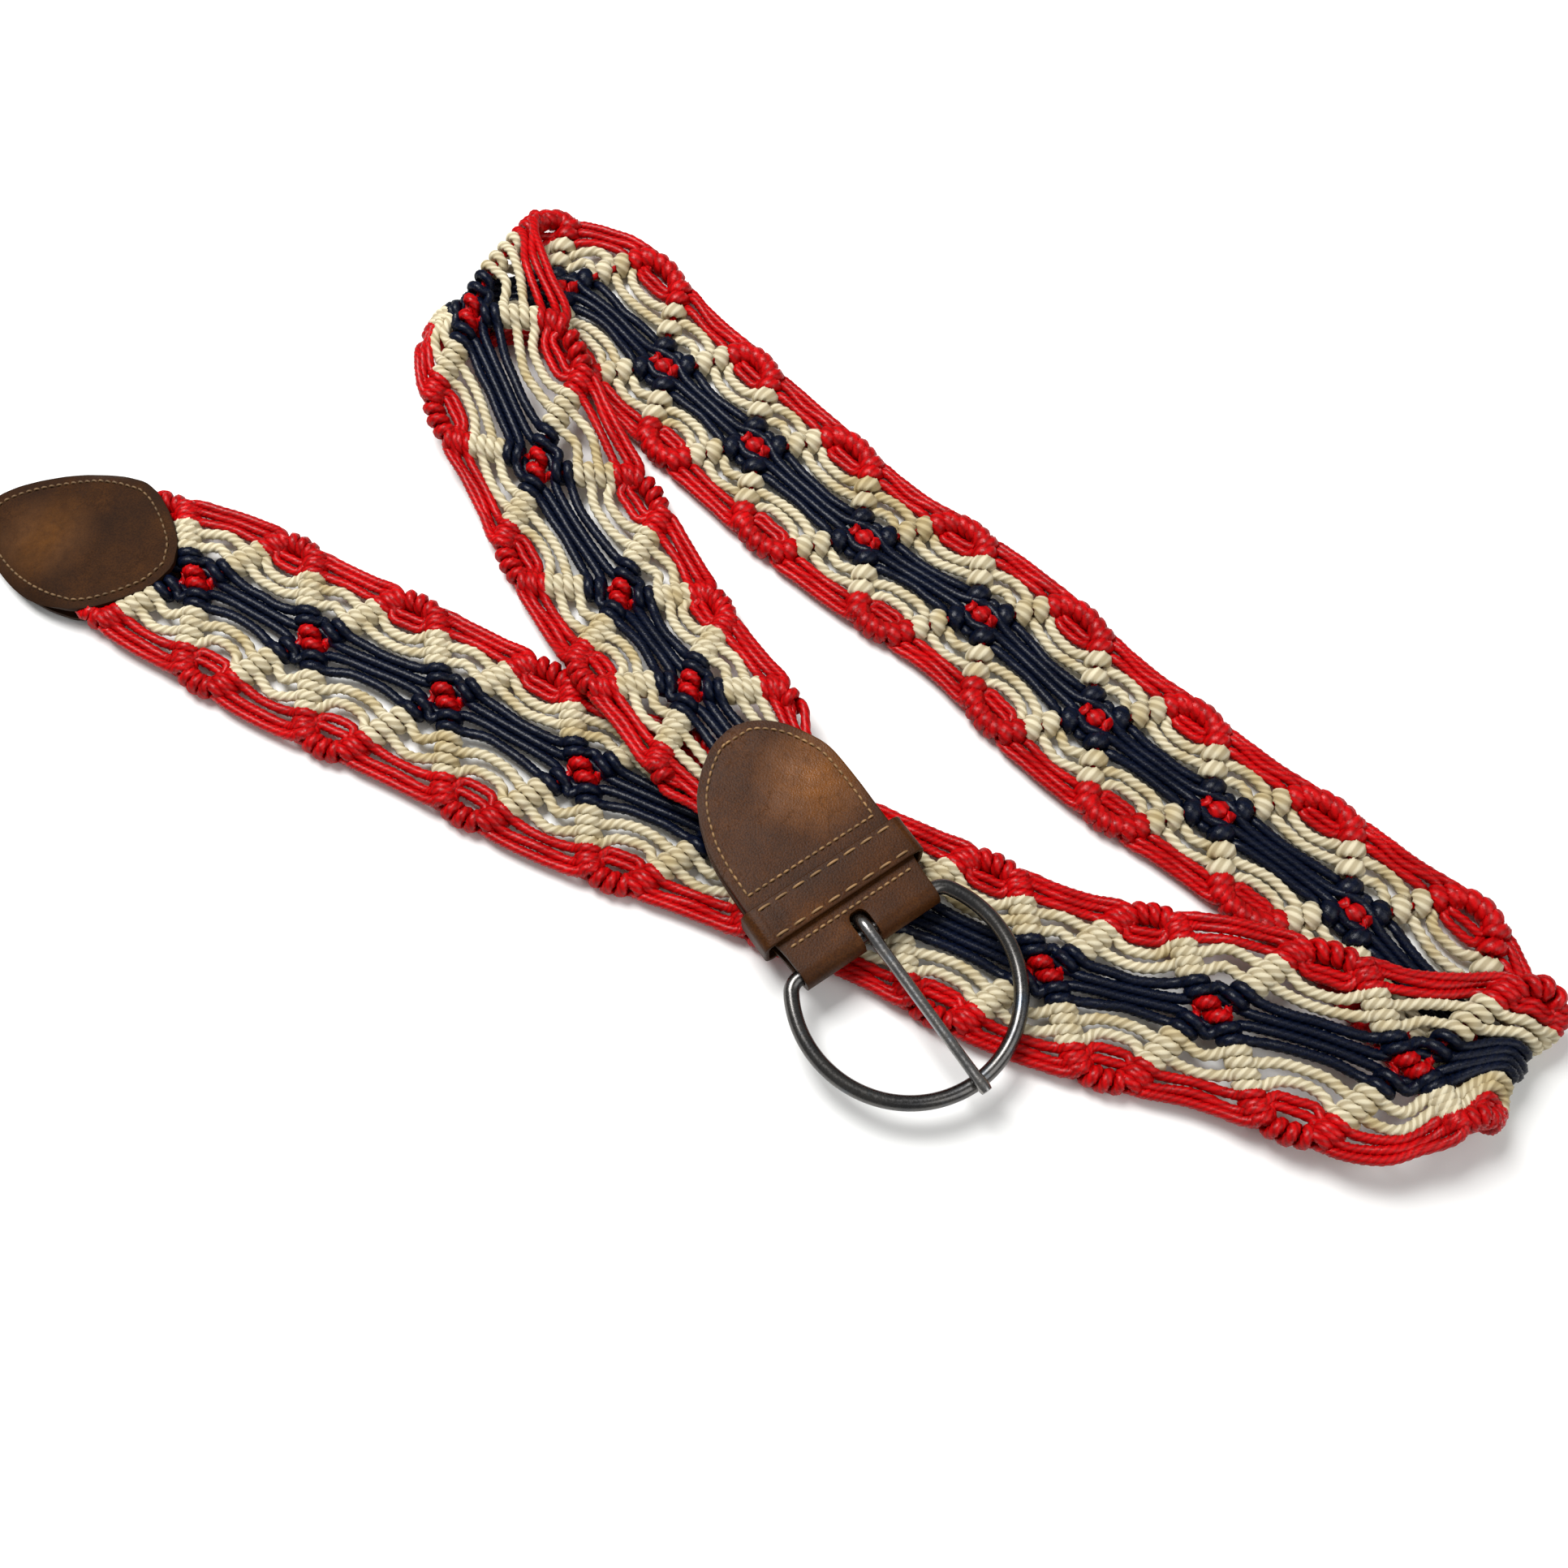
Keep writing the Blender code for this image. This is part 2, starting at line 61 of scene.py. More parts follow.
# Where the band lies: place along it in knot repeats, centre line in shares of GRID,
# turn of the cross line in degrees, half widths in shares of HALF_BAND, heights in LAYER
BAND_LAY = np.array([
    # repeat, x, y, turn, left, right, left height, right height
    (-0.80, 0.03, -0.01, 70, 0.64, 0.64, 0.74, 0.74),
    (-0.55, 0.13, -0.05, 68, 0.82, 0.80, 0.76, 0.76),
    (-0.25, 0.245, -0.09, 64, 0.90, 0.98, 0.77, 0.77),
    (0.00, 0.35, -0.128, 61, 0.94, 1.08, 0.66, 0.66),
    (1.00, 0.70, -0.32, 63, 0.98, 1.14, 0.50, 0.50),
    (2.00, 1.09, -0.50, 64, 0.90, 1.16, 0.50, 0.50),
    (3.00, 1.48, -0.725, 63, 0.88, 1.10, 0.50, 0.50),
    (4.00, 1.88, -0.91, 63, 0.92, 0.98, 0.50, 0.50),
    (5.00, 2.285, -1.095, 65, 0.94, 0.92, 0.50, 0.50),
    (6.00, 2.685, -1.28, 68, 0.90, 0.98, 0.52, 0.50),
    (6.60, 2.93, -1.355, 70, 0.94, 0.98, 0.90, 0.56),
    (7.00, 3.09, -1.395, 71, 0.96, 0.96, 1.75, 0.80),
    (7.50, 3.32, -1.47, 70, 0.94, 1.04, 2.15, 1.50),
    (8.00, 3.545, -1.55, 68, 0.98, 0.98, 2.60, 2.30),
    (8.50, 3.773, -1.527, 56, 0.86, 0.74, 2.86, 2.76),
    (8.70, 3.815, -1.56, 50, 0.86, 0.68, 1.68, 1.68),
    (8.92, 3.77, -1.52, 47, 0.94, 0.72, 0.50, 0.50),
    (9.40, 3.64, -1.33, 41, 1.18, 0.78, 0.50, 0.50),
    (10.0, 3.49, -1.132, 46, 0.94, 0.80, 0.50, 0.50),
    (11.0, 3.17, -0.843, 47, 0.88, 0.86, 0.50, 0.50),
    (12.0, 2.868, -0.57, 46, 0.92, 0.96, 0.50, 0.50),
    (13.0, 2.573, -0.247, 47, 0.90, 0.92, 0.50, 0.50),
    (14.0, 2.25, 0.007, 48, 0.92, 0.90, 0.50, 0.50),
    (15.0, 1.934, 0.329, 46, 0.94, 0.94, 0.50, 0.50),
    (16.0, 1.656, 0.62, 48, 1.00, 0.92, 0.50, 0.50),
    (17.0, 1.321, 0.919, 56, 1.16, 0.94, 0.50, 0.50),
    (17.33, 1.178, 0.914, 58, 1.40, 0.98, 0.50, 0.50),
    (17.50, 1.108, 0.898, 58, 1.46, 0.94, 0.84, 0.84),
    (17.67, 1.064, 0.867, 58, 1.48, 0.90, 1.68, 1.68),
    (17.83, 1.056, 0.813, 57, 1.40, 0.90, 2.52, 2.52),
    (18.00, 1.074, 0.743, 52, 1.28, 0.90, 2.90, 2.84),
    (18.50, 1.18, 0.50, 30, 1.06, 0.88, 2.30, 1.60),
    (19.00, 1.298, 0.245, 28, 1.06, 0.84, 1.75, 0.75),
    (19.50, 1.42, 0.03, 30, 1.06, 0.88, 0.75, 0.50),
    (20.00, 1.557, -0.175, 31, 0.98, 0.96, 0.50, 0.60),
    (20.50, 1.66, -0.34, 33, 0.92, 0.96, 0.90, 1.65),
    (21.00, 1.765, -0.50, 34, 0.88, 0.92, 1.75, 2.15),
    (21.30, 1.838, -0.61, 34.6, 0.88, 0.90, 2.17, 2.17),
    (21.60, 1.91, -0.714, 34.6, 0.78, 0.80, 2.17, 2.17),
    (21.90, 1.975, -0.822, 34.6, 0.66, 0.66, 2.17, 2.17),
])

# Arm of a knotted cross: share of the half width, and repeats from the red square
ARM_SHARES = (0.0, 0.08, 0.15, 0.30, 0.50, 0.69, 0.80, 0.90, 1.0)
ARM_REPEATS = (0.0, 0.05, 0.09, 0.15, 0.215, 0.275, 0.31, 0.35, 0.38)
# Turn of the leader at the edge: half its length in repeats, and its crown and dip
TURN_HALF = 0.155
TURN_CROWN = 0.955
TURN_DIP = 0.07

# Hitch of a cord round the leader: where it starts and how far it winds, in degrees, then
# the middle and the length of its visible part in shares of its path
HITCH_START = 155.0
HITCH_SWEEP = 485.0
HITCH_MIDDLE = 0.505
HITCH_SHOWN = 0.742

# Cords on each side: share of the half width at the knots, in the mouth of a cross,
# between two crosses and at the band's ends, then the share from wrap to wrap
CORD_RUNS = {
    "navy_inner": (0.12, 0.16, 0.055, 0.08, 0.0),
    "navy_outer": (0.215, 0.27, 0.165, 0.24, 0.105),
    "cream_inner": (0.41, 0.49, 0.32, 0.42, 0.10),
    "cream_outer": (0.61, 0.68, 0.48, 0.58, 0.10),
    "red_inner": (0.765, 0.785, 0.635, 0.72, 0.085),
    "red_middle": (0.885, 0.89, 0.745, 0.84, 0.075),
    "red_outer": (0.97, 0.985, 0.97, 0.96, 0.0),
}

BAR_CENTRE = Vector((222.8, -120.8, 10.2)) * MM
BUCKLE_HEADING = math.radians(-55.4)
RING_DROOP = math.radians(2.0)
RING_RADIUS = 28.7 * MM
RING_AHEAD = 17.0 * MM
RING_CORNER = 4.5 * MM
PRONG_REACH = 49.2 * MM
CLEAR = 0.3 * MM
KEEPER_FRONT = 9.2 * MM
KEEPER_WIDTH = 11.0 * MM
KEEPER_HALF = 23.9 * MM
KEEPER_THICK = 1.4 * MM
KEEPER_CORNER = 2.2 * MM
KEEPER_CROWN = 0.25 * MM

TIP_LENGTH = 62.5 * MM
TIP_HALF_WIDTH = 22.4 * MM
TIP_FRONT_END = 31.5 * MM
TIP_LIFT = 3.6 * MM
TIP_HEADING = math.radians(-20.0)
TIP_ROWS = np.array([
    # place, half width, lift in the middle, lift at the rim
    (0.000, 0.05, 0.00, 0.00),
    (0.015, 0.20, 0.00, 0.00),
    (0.06, 0.38, 0.00, 0.00),
    (0.15, 0.60, 0.02, 0.00),
    (0.26, 0.78, 0.12, 0.00),
    (0.37, 0.90, 0.50, 0.05),
    (0.47, 0.97, 0.92, 0.25),
    (0.57, 1.00, 1.00, 0.55),
    (0.65, 1.00, 1.00, 0.90),
    (0.73, 0.93, 1.00, 1.00),
    (0.82, 0.76, 1.00, 1.00),
    (0.90, 0.55, 1.00, 1.00),
    (0.965, 0.32, 1.00, 1.00),
    (1.00, 0.05, 1.00, 1.00),
])

TAB_LENGTH = 66.0 * MM
TAB_HALF_WIDTH = 22.0 * MM
TAB_SLOPE = 0.9 * MM
SLOT_SHARE = 0.13
SLOT_PLACE = 0.085
TAB_ROWS = np.array([
    # place behind the bar, half width, lean
    (0.00, 0.93, 0.00),
    (0.085, 0.94, 0.00),
    (0.16, 0.97, 0.00),
    (0.34, 1.00, -0.01),
    (0.48, 1.00, 0.00),
    (0.60, 0.98, 0.02),
    (0.72, 0.91, 0.06),
    (0.81, 0.79, 0.07),
    (0.89, 0.62, 0.10),
    (0.95, 0.42, 0.12),
    (0.985, 0.24, 0.13),
    (1.00, 0.06, 0.14),
])


# Length of a stitch as a share of the pitch, and how far inside the edge a row runs
STITCH_SHARE = 0.74
TIP_STITCH_INSET = 2.8 * MM
TAB_STITCH_INSET = 2.5 * MM
# Rows across the tab and the keeper, as shares of their lengths, and how much longer the
# keeper's stitches are
TAB_STITCH_LINES = (0.365, 0.103)
KEEPER_STITCH_LINES = (0.13, 0.87)
KEEPER_STITCH_LENGTH = 2.25
# Places that hands have polished, which also get a painted highlight
TIP_POLISH_AND_SHEEN_AT = (-0.01, 0.0, 0.006)
TAB_POLISH_AND_SHEEN_AT = (0.2095, -0.079, 0.012)

FLOOR_REACH = 3.0
FLOOR_LEVEL = -1.6 * MM
WORLD_LIGHT = 0.24
LIGHTS = (
    # name, place, size, power
    ("key_light", (-0.15, 0.30, 0.95), 0.50, 13.5),
    ("fill_light", (0.85, -0.45, 0.80), 0.80, 4.0),
)
LIGHT_TARGET = Vector((0.2, -0.07, 0.0))
CAMERA_PLACE = (0.202, -0.2475, 0.3873)
CAMERA_TILT = math.radians(24.0)
SENSOR_WIDTH = 36.0
FOCAL_LENGTH = 36.09


def linear(hex_code):
    # sRGB hex value to linear red, green and blue
    values = [int(hex_code[i:i + 2], 16) / 255.0 for i in (0, 2, 4)]
    return tuple(v / 12.92 if v <= 0.04045 else ((v + 0.055) / 1.055) ** 2.4 for v in values)


def length_setting(name, description, default):
    return bpy.props.FloatProperty(
        name=name, description=description, default=default, min=0.0001, unit="LENGTH", precision=5
    )


def colour_setting(name, description, hex_code):
    return bpy.props.FloatVectorProperty(
        name=name, description=description, default=linear(hex_code), size=3, min=0.0, max=1.0,
        subtype="COLOR",
    )


class BeltSizes(bpy.types.PropertyGroup):
    cord: length_setting("Waxed cord", "Diameter of the red and navy cords", 0.0027)
    cream_cord: length_setting("Cream cord", "Diameter of the cream cotton cord", 0.0029)
    leader: length_setting("Leader cord", "Diameter of the cord that carries the knots", 0.0019)
    wrap_width: length_setting("Wrap width", "Width of a cord where it is pulled round", 0.0031)
    wrap_thick: length_setting("Wrap thickness", "Thickness of a cord pulled round", 0.0026)
    lay: length_setting("Lay", "Length of one full twist of the cord's plies", 0.0070)
    leather: length_setting("Leather", "Thickness of the tab and the tip", 0.0015)
    thread: length_setting("Thread", "Diameter of the sewing thread", 0.0006)
    stitch_pitch: length_setting("Stitch pitch", "Distance from stitch to stitch", 0.0022)
    wire: length_setting("Ring wire", "Radius of the buckle ring's wire", 0.0020)
    prong: length_setting("Prong wire", "Radius of the prong's wire", 0.0015)


class BeltColours(bpy.types.PropertyGroup):
    red: colour_setting("Red cord", "Waxed red cord", "CC0308")
    cream: colour_setting("Cream cord", "Natural cotton cord", "E4D9BA")
    navy: colour_setting("Navy cord", "Waxed navy cord", "050E24")
    tip: colour_setting("Tip leather", "Dark brown tip", "341B04")
    tab: colour_setting("Tab leather", "Brown buckle tab", "472608")
    thread: colour_setting("Thread", "Tan sewing thread", "A07A4E")
    metal: colour_setting("Gunmetal", "Plating of the ring and the prong", "5E5E5F")
    floor: colour_setting("Floor", "Plain pale floor", "F6F6F4")


def sizes():
    return bpy.context.scene.belt_sizes


def colours():
    return bpy.context.scene.belt_colours


def knot_slopes(places, values):
    # Slopes of a smooth curve that never overshoots its knots
    gaps = np.diff(places)
    rises = np.diff(values) / gaps
    slopes = np.zeros(len(values))
    slopes[0] = rises[0]
    slopes[-1] = rises[-1]
    for i in range(1, len(values) - 1):
        if rises[i - 1] * rises[i] > 0.0:
            first = 2.0 * gaps[i] + gaps[i - 1]
            second = gaps[i] + 2.0 * gaps[i - 1]
            slopes[i] = (first + second) / (first / rises[i - 1] + second / rises[i])
    return slopes


def curve_at(places, values, slopes, at):
    # Value at any place of the curve through the knots, for arrays of places
    i = np.clip(np.searchsorted(places, at, side="right") - 1, 0, len(places) - 2)
    gap = places[i + 1] - places[i]
    t = (at - places[i]) / gap
    if values.ndim > 1:
        gap = gap[:, None]
        t = t[:, None]
    start = (1.0 + 2.0 * t) * (1.0 - t) ** 2 * values[i]
    leave = t * (1.0 - t) ** 2 * gap * slopes[i]
    end = t * t * (3.0 - 2.0 * t) * values[i + 1]
    arrive = t * t * (t - 1.0) * gap * slopes[i + 1]
    return start + leave + end + arrive


BAND_SLOPES = [knot_slopes(BAND_LAY[:, 0], BAND_LAY[:, k]) for k in range(1, 8)]
TIP_SLOPES = [knot_slopes(TIP_ROWS[:, 0], TIP_ROWS[:, k]) for k in range(1, 4)]
TAB_SLOPES = [knot_slopes(TAB_ROWS[:, 0], TAB_ROWS[:, k]) for k in range(1, 3)]


def table_at(table, slopes, column, at):
    return curve_at(table[:, 0], table[:, column], slopes[column - 1], np.asarray(at, dtype=float))


def unit(vectors):
    return vectors / np.maximum(np.linalg.norm(vectors, axis=-1, keepdims=True), 1e-12)


def band_points(repeat, share):
    # Middle of the band's thickness at repeats along it and shares of its half width
    repeat, share = np.broadcast_arrays(np.asarray(repeat, float), np.asarray(share, float))
    x, y, turn, left, right, left_high, right_high = (
        table_at(BAND_LAY, BAND_SLOPES, k, repeat) for k in range(1, 8)
    )
    reach = share * HALF_BAND * np.where(share > 0.0, left, right)
    angle = np.radians(turn)
    height = LAYER * (0.5 * (left_high + right_high) + 0.5 * share * (left_high - right_high))
    return np.stack([
        x * GRID + reach * np.cos(angle),
        y * GRID + reach * np.sin(angle),
        height,
    ], axis=-1)


def band_frames(repeat, share):
    # Points of the band with its directions along, and out of its front face
    step = 0.02
    along = band_points(repeat + step, share) - band_points(repeat - step, share)
    across = band_points(repeat, share + step) - band_points(repeat, share - step)
    return band_points(repeat, share), unit(along), unit(np.cross(along, across))


def arm_repeat(share):
    return np.interp(share, ARM_SHARES, ARM_REPEATS)


class CordPath:
    # Points that one cord follows, each with its outward side, width and thickness
    def __init__(self, width):
        self.width = width
        self.points = []
        self.outward = []
        self.across = []
        self.deep = []

    def lay(self, repeat, share, lift=0.0):
        # Free cord lying along the band
        repeat = np.atleast_1d(np.asarray(repeat, float))
        share = np.broadcast_to(np.asarray(share, float), repeat.shape)
        point, _, out = band_frames(repeat, share)
        self.add(point + out * lift, out, self.width, self.width)

    def add(self, points, outward, across, deep):
        count = len(points)
        self.points.append(points)
        self.outward.append(outward)
        self.across.append(np.broadcast_to(across, count).astype(float))
        self.deep.append(np.broadcast_to(deep, count).astype(float))

    def hitch(self, count, way, side, middle, pitch, wide):
        # Double half hitch: the cord goes nearly one and a half times round a leader's arm
        t = np.linspace(0.0, 1.0, 20)
        angle = np.radians(HITCH_START - HITCH_SWEEP * t)
        share = middle + way * (t - HITCH_MIDDLE) / HITCH_SHOWN * pitch
        centre, down, out = arm_frames(count, way, side, share)
        self.wrap(centre, down, out, angle, wide)

    def wrap(self, centre, down, out, angle, wide, loose=0.35 * MM):
        size = sizes()
        reach_flat = 0.5 * size.leader + 0.5 * size.wrap_thick + loose
        reach_high = 0.5 * size.leader + 0.5 * size.wrap_thick + 0.1 * MM
        cos = np.cos(angle)[:, None]
        sin = np.sin(angle)[:, None]
        point = centre + cos * reach_flat * down + sin * reach_high * out
        behind = np.clip(-np.sin(angle), 0.0, 1.0)
        across = wide * (1.0 + 0.6 * behind)
        self.add(point, unit(cos * down + sin * out), across, size.wrap_thick)

    def arrays(self):
        return (
            np.concatenate(self.points),
            np.concatenate(self.outward),
            np.concatenate(self.across),
            np.concatenate(self.deep),
        )


def arm_frames(count, way, side, share):
    # Points on a leader's arm, with the directions down the band and out of its face
    step = 0.03
    centre, along, out = band_frames(count + way * signed_arm(share), side * share)
    ahead = band_points(count + way * signed_arm(share + step), side * (share + step))
    behind = band_points(count + way * signed_arm(share - step), side * (share - step))
    down = unit(np.cross(out, ahead - behind))
    down = np.where(np.sum(down * along, axis=1, keepdims=True) < 0.0, -down, down)
    return centre, down, out


def signed_arm(share):
    return np.sign(share) * arm_repeat(np.abs(share))


def turn_frames(count, side, place):
    # Points on the leader's turn at the band's edge, and the direction off the edge
    repeat = count + 0.5 + TURN_HALF * place
    share = side * (TURN_CROWN - TURN_DIP * place ** 2)
    centre, _, out = band_frames(repeat, share)
    ahead = band_points(repeat + TURN_HALF * 0.05,
                        side * (TURN_CROWN - TURN_DIP * (place + 0.05) ** 2))
    off = unit(np.cross(out, ahead - centre))
    outer = band_points(repeat, share + side * 0.05) - centre
    off = np.where(np.sum(off * outer, axis=1, keepdims=True) < 0.0, -off, off)
    return centre, off, out


def side_cord(kind, side, width, seed):
    # One cord of a side, knotted to every arm that it meets
    knot, mouth, between, end, pitch = CORD_RUNS[kind]
    wide = sizes().wrap_width
    path = CordPath(width)
    random = np.random.default_rng(seed)
    path.lay([BAND_START, -0.68, -0.56], side * np.array([end, end, 0.5 * (end + between)]))
    for count in range(FIRST_SQUARE - 1, LAST_SQUARE + 1):
        wander = random.uniform(-0.012, 0.012, 4)
        if count >= FIRST_SQUARE:
            path.hitch(count, 1, side, knot, pitch, wide)
        if FIRST_SQUARE <= count < LAST_SQUARE:
            near = between + 0.22 * (knot - between)
            free = np.array([near, between, near]) + wander[:3]
            path.lay(count + np.array([0.39, 0.5, 0.61]), side * free, 0.25 * MM)
        if count < LAST_SQUARE:
            path.hitch(count + 1, -1, side, knot, pitch, wide)
            rise = mouth + 0.5 * wander[3]
            path.lay([count + 1.0], side * rise, 0.35 * MM)
    path.lay([21.5, 21.7, BAND_END], side * np.array([0.5 * (end + knot), end, end]))
    return path.arrays()


def hidden_cord(kind, side, width):
    # Cord carried straight behind the knots
    knot, mouth, between, end, _ = CORD_RUNS[kind]
    path = CordPath(width)
    path.lay([BAND_START, -0.65, -0.4], side * end)
    for count in range(FIRST_SQUARE, LAST_SQUARE + 1):
        share = np.array([between, 0.6 * knot, knot, mouth, knot, 0.6 * knot, between])
        place = count + np.array([-0.3, -0.17, -0.09, 0.0, 0.09, 0.17, 0.3])
        lift = np.array([0.0, -0.6, -1.4, -1.0, -1.4, -0.6, 0.0]) * MM
        for k in range(7):
            path.lay([place[k]], side * share[k], lift[k])
        if count < LAST_SQUARE:
            path.lay([count + 0.5], side * between)
    path.lay([21.45, 21.7, BAND_END], side * np.array([between, end, end]))
    return path.arrays()


def edge_cord(side, width, seed):
    # Outer red cord, wound four times round the leader wherever it turns
    _, mouth, _, end, _ = CORD_RUNS["red_outer"]
    path = CordPath(width)
    random = np.random.default_rng(seed)
    wide = 1.02 * sizes().wrap_width
    path.lay([BAND_START, -0.68], side * np.array([end, end]))
    for count in range(FIRST_SQUARE - 1, LAST_SQUARE + 1):
        start, stop, turns = -0.9, 0.9, 4
        if count < FIRST_SQUARE:
            start, turns = 0.1, 2
        if count == LAST_SQUARE:
            stop, turns = -0.1, 2
        t = np.linspace(0.0, 1.0, 12 * turns + 1)
        angle = np.radians(55.0 + (360.0 * turns - 85.0) * t)
        centre, off, out = turn_frames(count, side, start + (stop - start) * t)
        path.wrap(centre, off, out, angle, wide, -0.2 * MM)
        if count < LAST_SQUARE:
            rise = mouth + random.uniform(-0.012, 0.012)
            path.lay(count + np.array([0.87, 1.0, 1.13]), side * rise, 0.2 * MM)
    path.lay([21.72, BAND_END], side * np.array([end, end]))
    return path.arrays()


def leader_cord(first_side, width):
    # Leader zigzags from edge to edge; the rising one is wound round the other
    path = CordPath(width)
    side = first_side
    path.lay([BAND_START, -0.6], side * np.array([0.55, 0.84]), -0.6 * MM)
    for count in range(FIRST_SQUARE - 1, LAST_SQUARE + 1):
        arm = np.array([0.80, 0.69, 0.50, 0.30, 0.15])
        if count >= FIRST_SQUARE:
            path.lay(count + arm_repeat(arm[::-1]), side * arm[::-1], leader_dip(arm[::-1]))
        turn = np.array([-1.0, -0.5, 0.0, 0.5, 1.0])
        if count < FIRST_SQUARE:
            turn = turn[3:]
        if count == LAST_SQUARE:
            turn = turn[:2]
        path.lay(count + 0.5 + TURN_HALF * turn, side * (TURN_CROWN - TURN_DIP * turn ** 2))
        if count < LAST_SQUARE:
            path.lay(count + 1 - arm_repeat(arm), side * arm, leader_dip(arm))
            if side < 0:
                cross_over(path, count + 1)
            else:
                path.lay([count + 1.0], 0.0)
        side = -side
    path.lay([21.65, BAND_END], -side * np.array([0.78, 0.6]), -0.6 * MM)
    return path.arrays()


def leader_dip(share):
    # The leader runs low under the first knots, next to the red square
    return (-0.9 * MM * np.clip((0.34 - share) / 0.16, 0.0, 1.0))[:, None]


def cross_over(path, count):
    # The two lumps of a red square: one leader wound round the other
    t = np.linspace(0.0, 1.0, 24)
    angle = np.radians(205.0 - 590.0 * t)
    share = (t - 0.5) / 0.61 * 0.12
    centre, down, out = arm_frames(count, 1, -1, share)
    path.wrap(centre, down, out, angle, 1.08 * sizes().wrap_width, -0.45 * MM)


def resample(run, step):
    # Even steps along a cord's path
    points, outward, across, deep = run
    gaps = np.linalg.norm(np.diff(points, axis=0), axis=1)
    keep = np.concatenate([[True], gaps > 0.05 * MM])
    points, outward, across, deep = points[keep], outward[keep], across[keep], deep[keep]
    places = np.concatenate([[0.0], np.cumsum(np.linalg.norm(np.diff(points, axis=0), axis=1))])
    values = np.column_stack([points, outward, across, deep])
    at = np.linspace(0.0, places[-1], int(places[-1] / step) + 1)
    slopes = np.gradient(values, places, axis=0)
    smooth = curve_at(places, values, slopes, at)
    return at, smooth[:, :3], smooth[:, 3:6], smooth[:, 6], smooth[:, 7]


def tube_arrays(run, step, sides, lobes, depth, lay):
    # Rings of a cord whose plies turn with the lay; each point also keeps how deep in a groove it
    # lies, for the painted shade of its material
    at, points, outward, across, deep = resample(run, step)
    along = unit(np.gradient(points, axis=0))
    outward = unit(outward - along * np.sum(outward * along, axis=1, keepdims=True))
    sideways = np.cross(along, outward)
    corner = 2.0 * math.pi * np.arange(sides) / sides
    ply = np.cos(lobes * corner)
    angle = corner[None, :] + (2.0 * math.pi * at / lay)[:, None]
    factor = 1.0 + depth * ply[None, :]
    flat = (0.5 * across)[:, None] * factor * np.cos(angle)
    high = (0.5 * deep)[:, None] * factor * np.sin(angle)
    rings = (
        points[:, None, :]
        + flat[:, :, None] * sideways[:, None, :]
        + high[:, :, None] * outward[:, None, :]
    )
    return rings.reshape(-1, 3), *tube_faces(len(at), sides), np.tile(0.5 + 0.5 * ply, len(at))


def tube_faces(count, sides):
    index = np.arange(count * sides).reshape(count, sides)
    after = np.roll(index, -1, axis=1)
    quads = np.stack([index[:-1], after[:-1], after[1:], index[1:]], axis=-1).reshape(-1, 4)
    return quads, [index[0][::-1].tolist(), index[-1].tolist()]


def joined_tubes(name, tubes):
    points = []
    faces = []
    shades = []
    start = 0
    for rings, quads, caps, shade in tubes:
        points.append(rings)
        shades.append(shade)
        faces.extend((quads + start).tolist())
        faces.extend([corner + start for corner in cap] for cap in caps)
        start += len(rings)
    data = bpy.data.meshes.new(name)
    data.from_pydata(np.concatenate(points).tolist(), [], faces)
    return shaded(data, np.concatenate(shades))


def shaded(data, values):
    # Keeps the grooves of a cord, for the painted shade of its material, or the rim of a sheet,
    # for its darkened edge
    ridge = data.attributes.new("ridge", "FLOAT", "POINT")
    ridge.data.foreach_set("value", values.astype(np.float32))
    data.shade_smooth()
    return data


def add_piece(name, data, material, body, slot, *nodes):
    item = bpy.data.objects.new(name, data)
    bpy.context.scene.collection.objects.link(item)
    data.materials.append(material)
    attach(item, body)
    if nodes:
        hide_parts(*nodes)
    return item


def add_node(tree, kind, inputs=None, stops=None, **settings):
    # Adds a node; an input is a plain value, or the socket or node that feeds it
    item = tree.nodes.new("ShaderNode" + kind)
    for key, value in settings.items():
        setattr(item, key, value)
    for key, value in (inputs or {}).items():
        if isinstance(value, bpy.types.Node):
            value = value.outputs[0]
        if isinstance(value, bpy.types.NodeSocket):
            tree.links.new(value, item.inputs[key])
        else:
            item.inputs[key].default_value = value
    for count, (place, colour) in enumerate(stops or ()):
        marks = item.color_ramp.elements
        mark = marks[count] if count < 2 else marks.new(place)
        mark.position = place
        mark.color = colour
    return item


def start_material(name):
    material = bpy.data.materials.new(name)
    material.use_nodes = True
    tree = material.node_tree
    tree.nodes.clear()
    place = add_node(tree, "TexCoord").outputs["Object"]
    ridge = add_node(tree, "Attribute", attribute_name="ridge").outputs["Fac"]
    return material, tree, place, ridge


def rgba(colour, *factors):
    # One factor darkens or lightens all of the colour; three do it for red, green and blue
    each = factors * 3 if len(factors) == 1 else factors or (1.0, 1.0, 1.0)
    return (*(c * f for c, f in zip(colour, each)), 1.0)


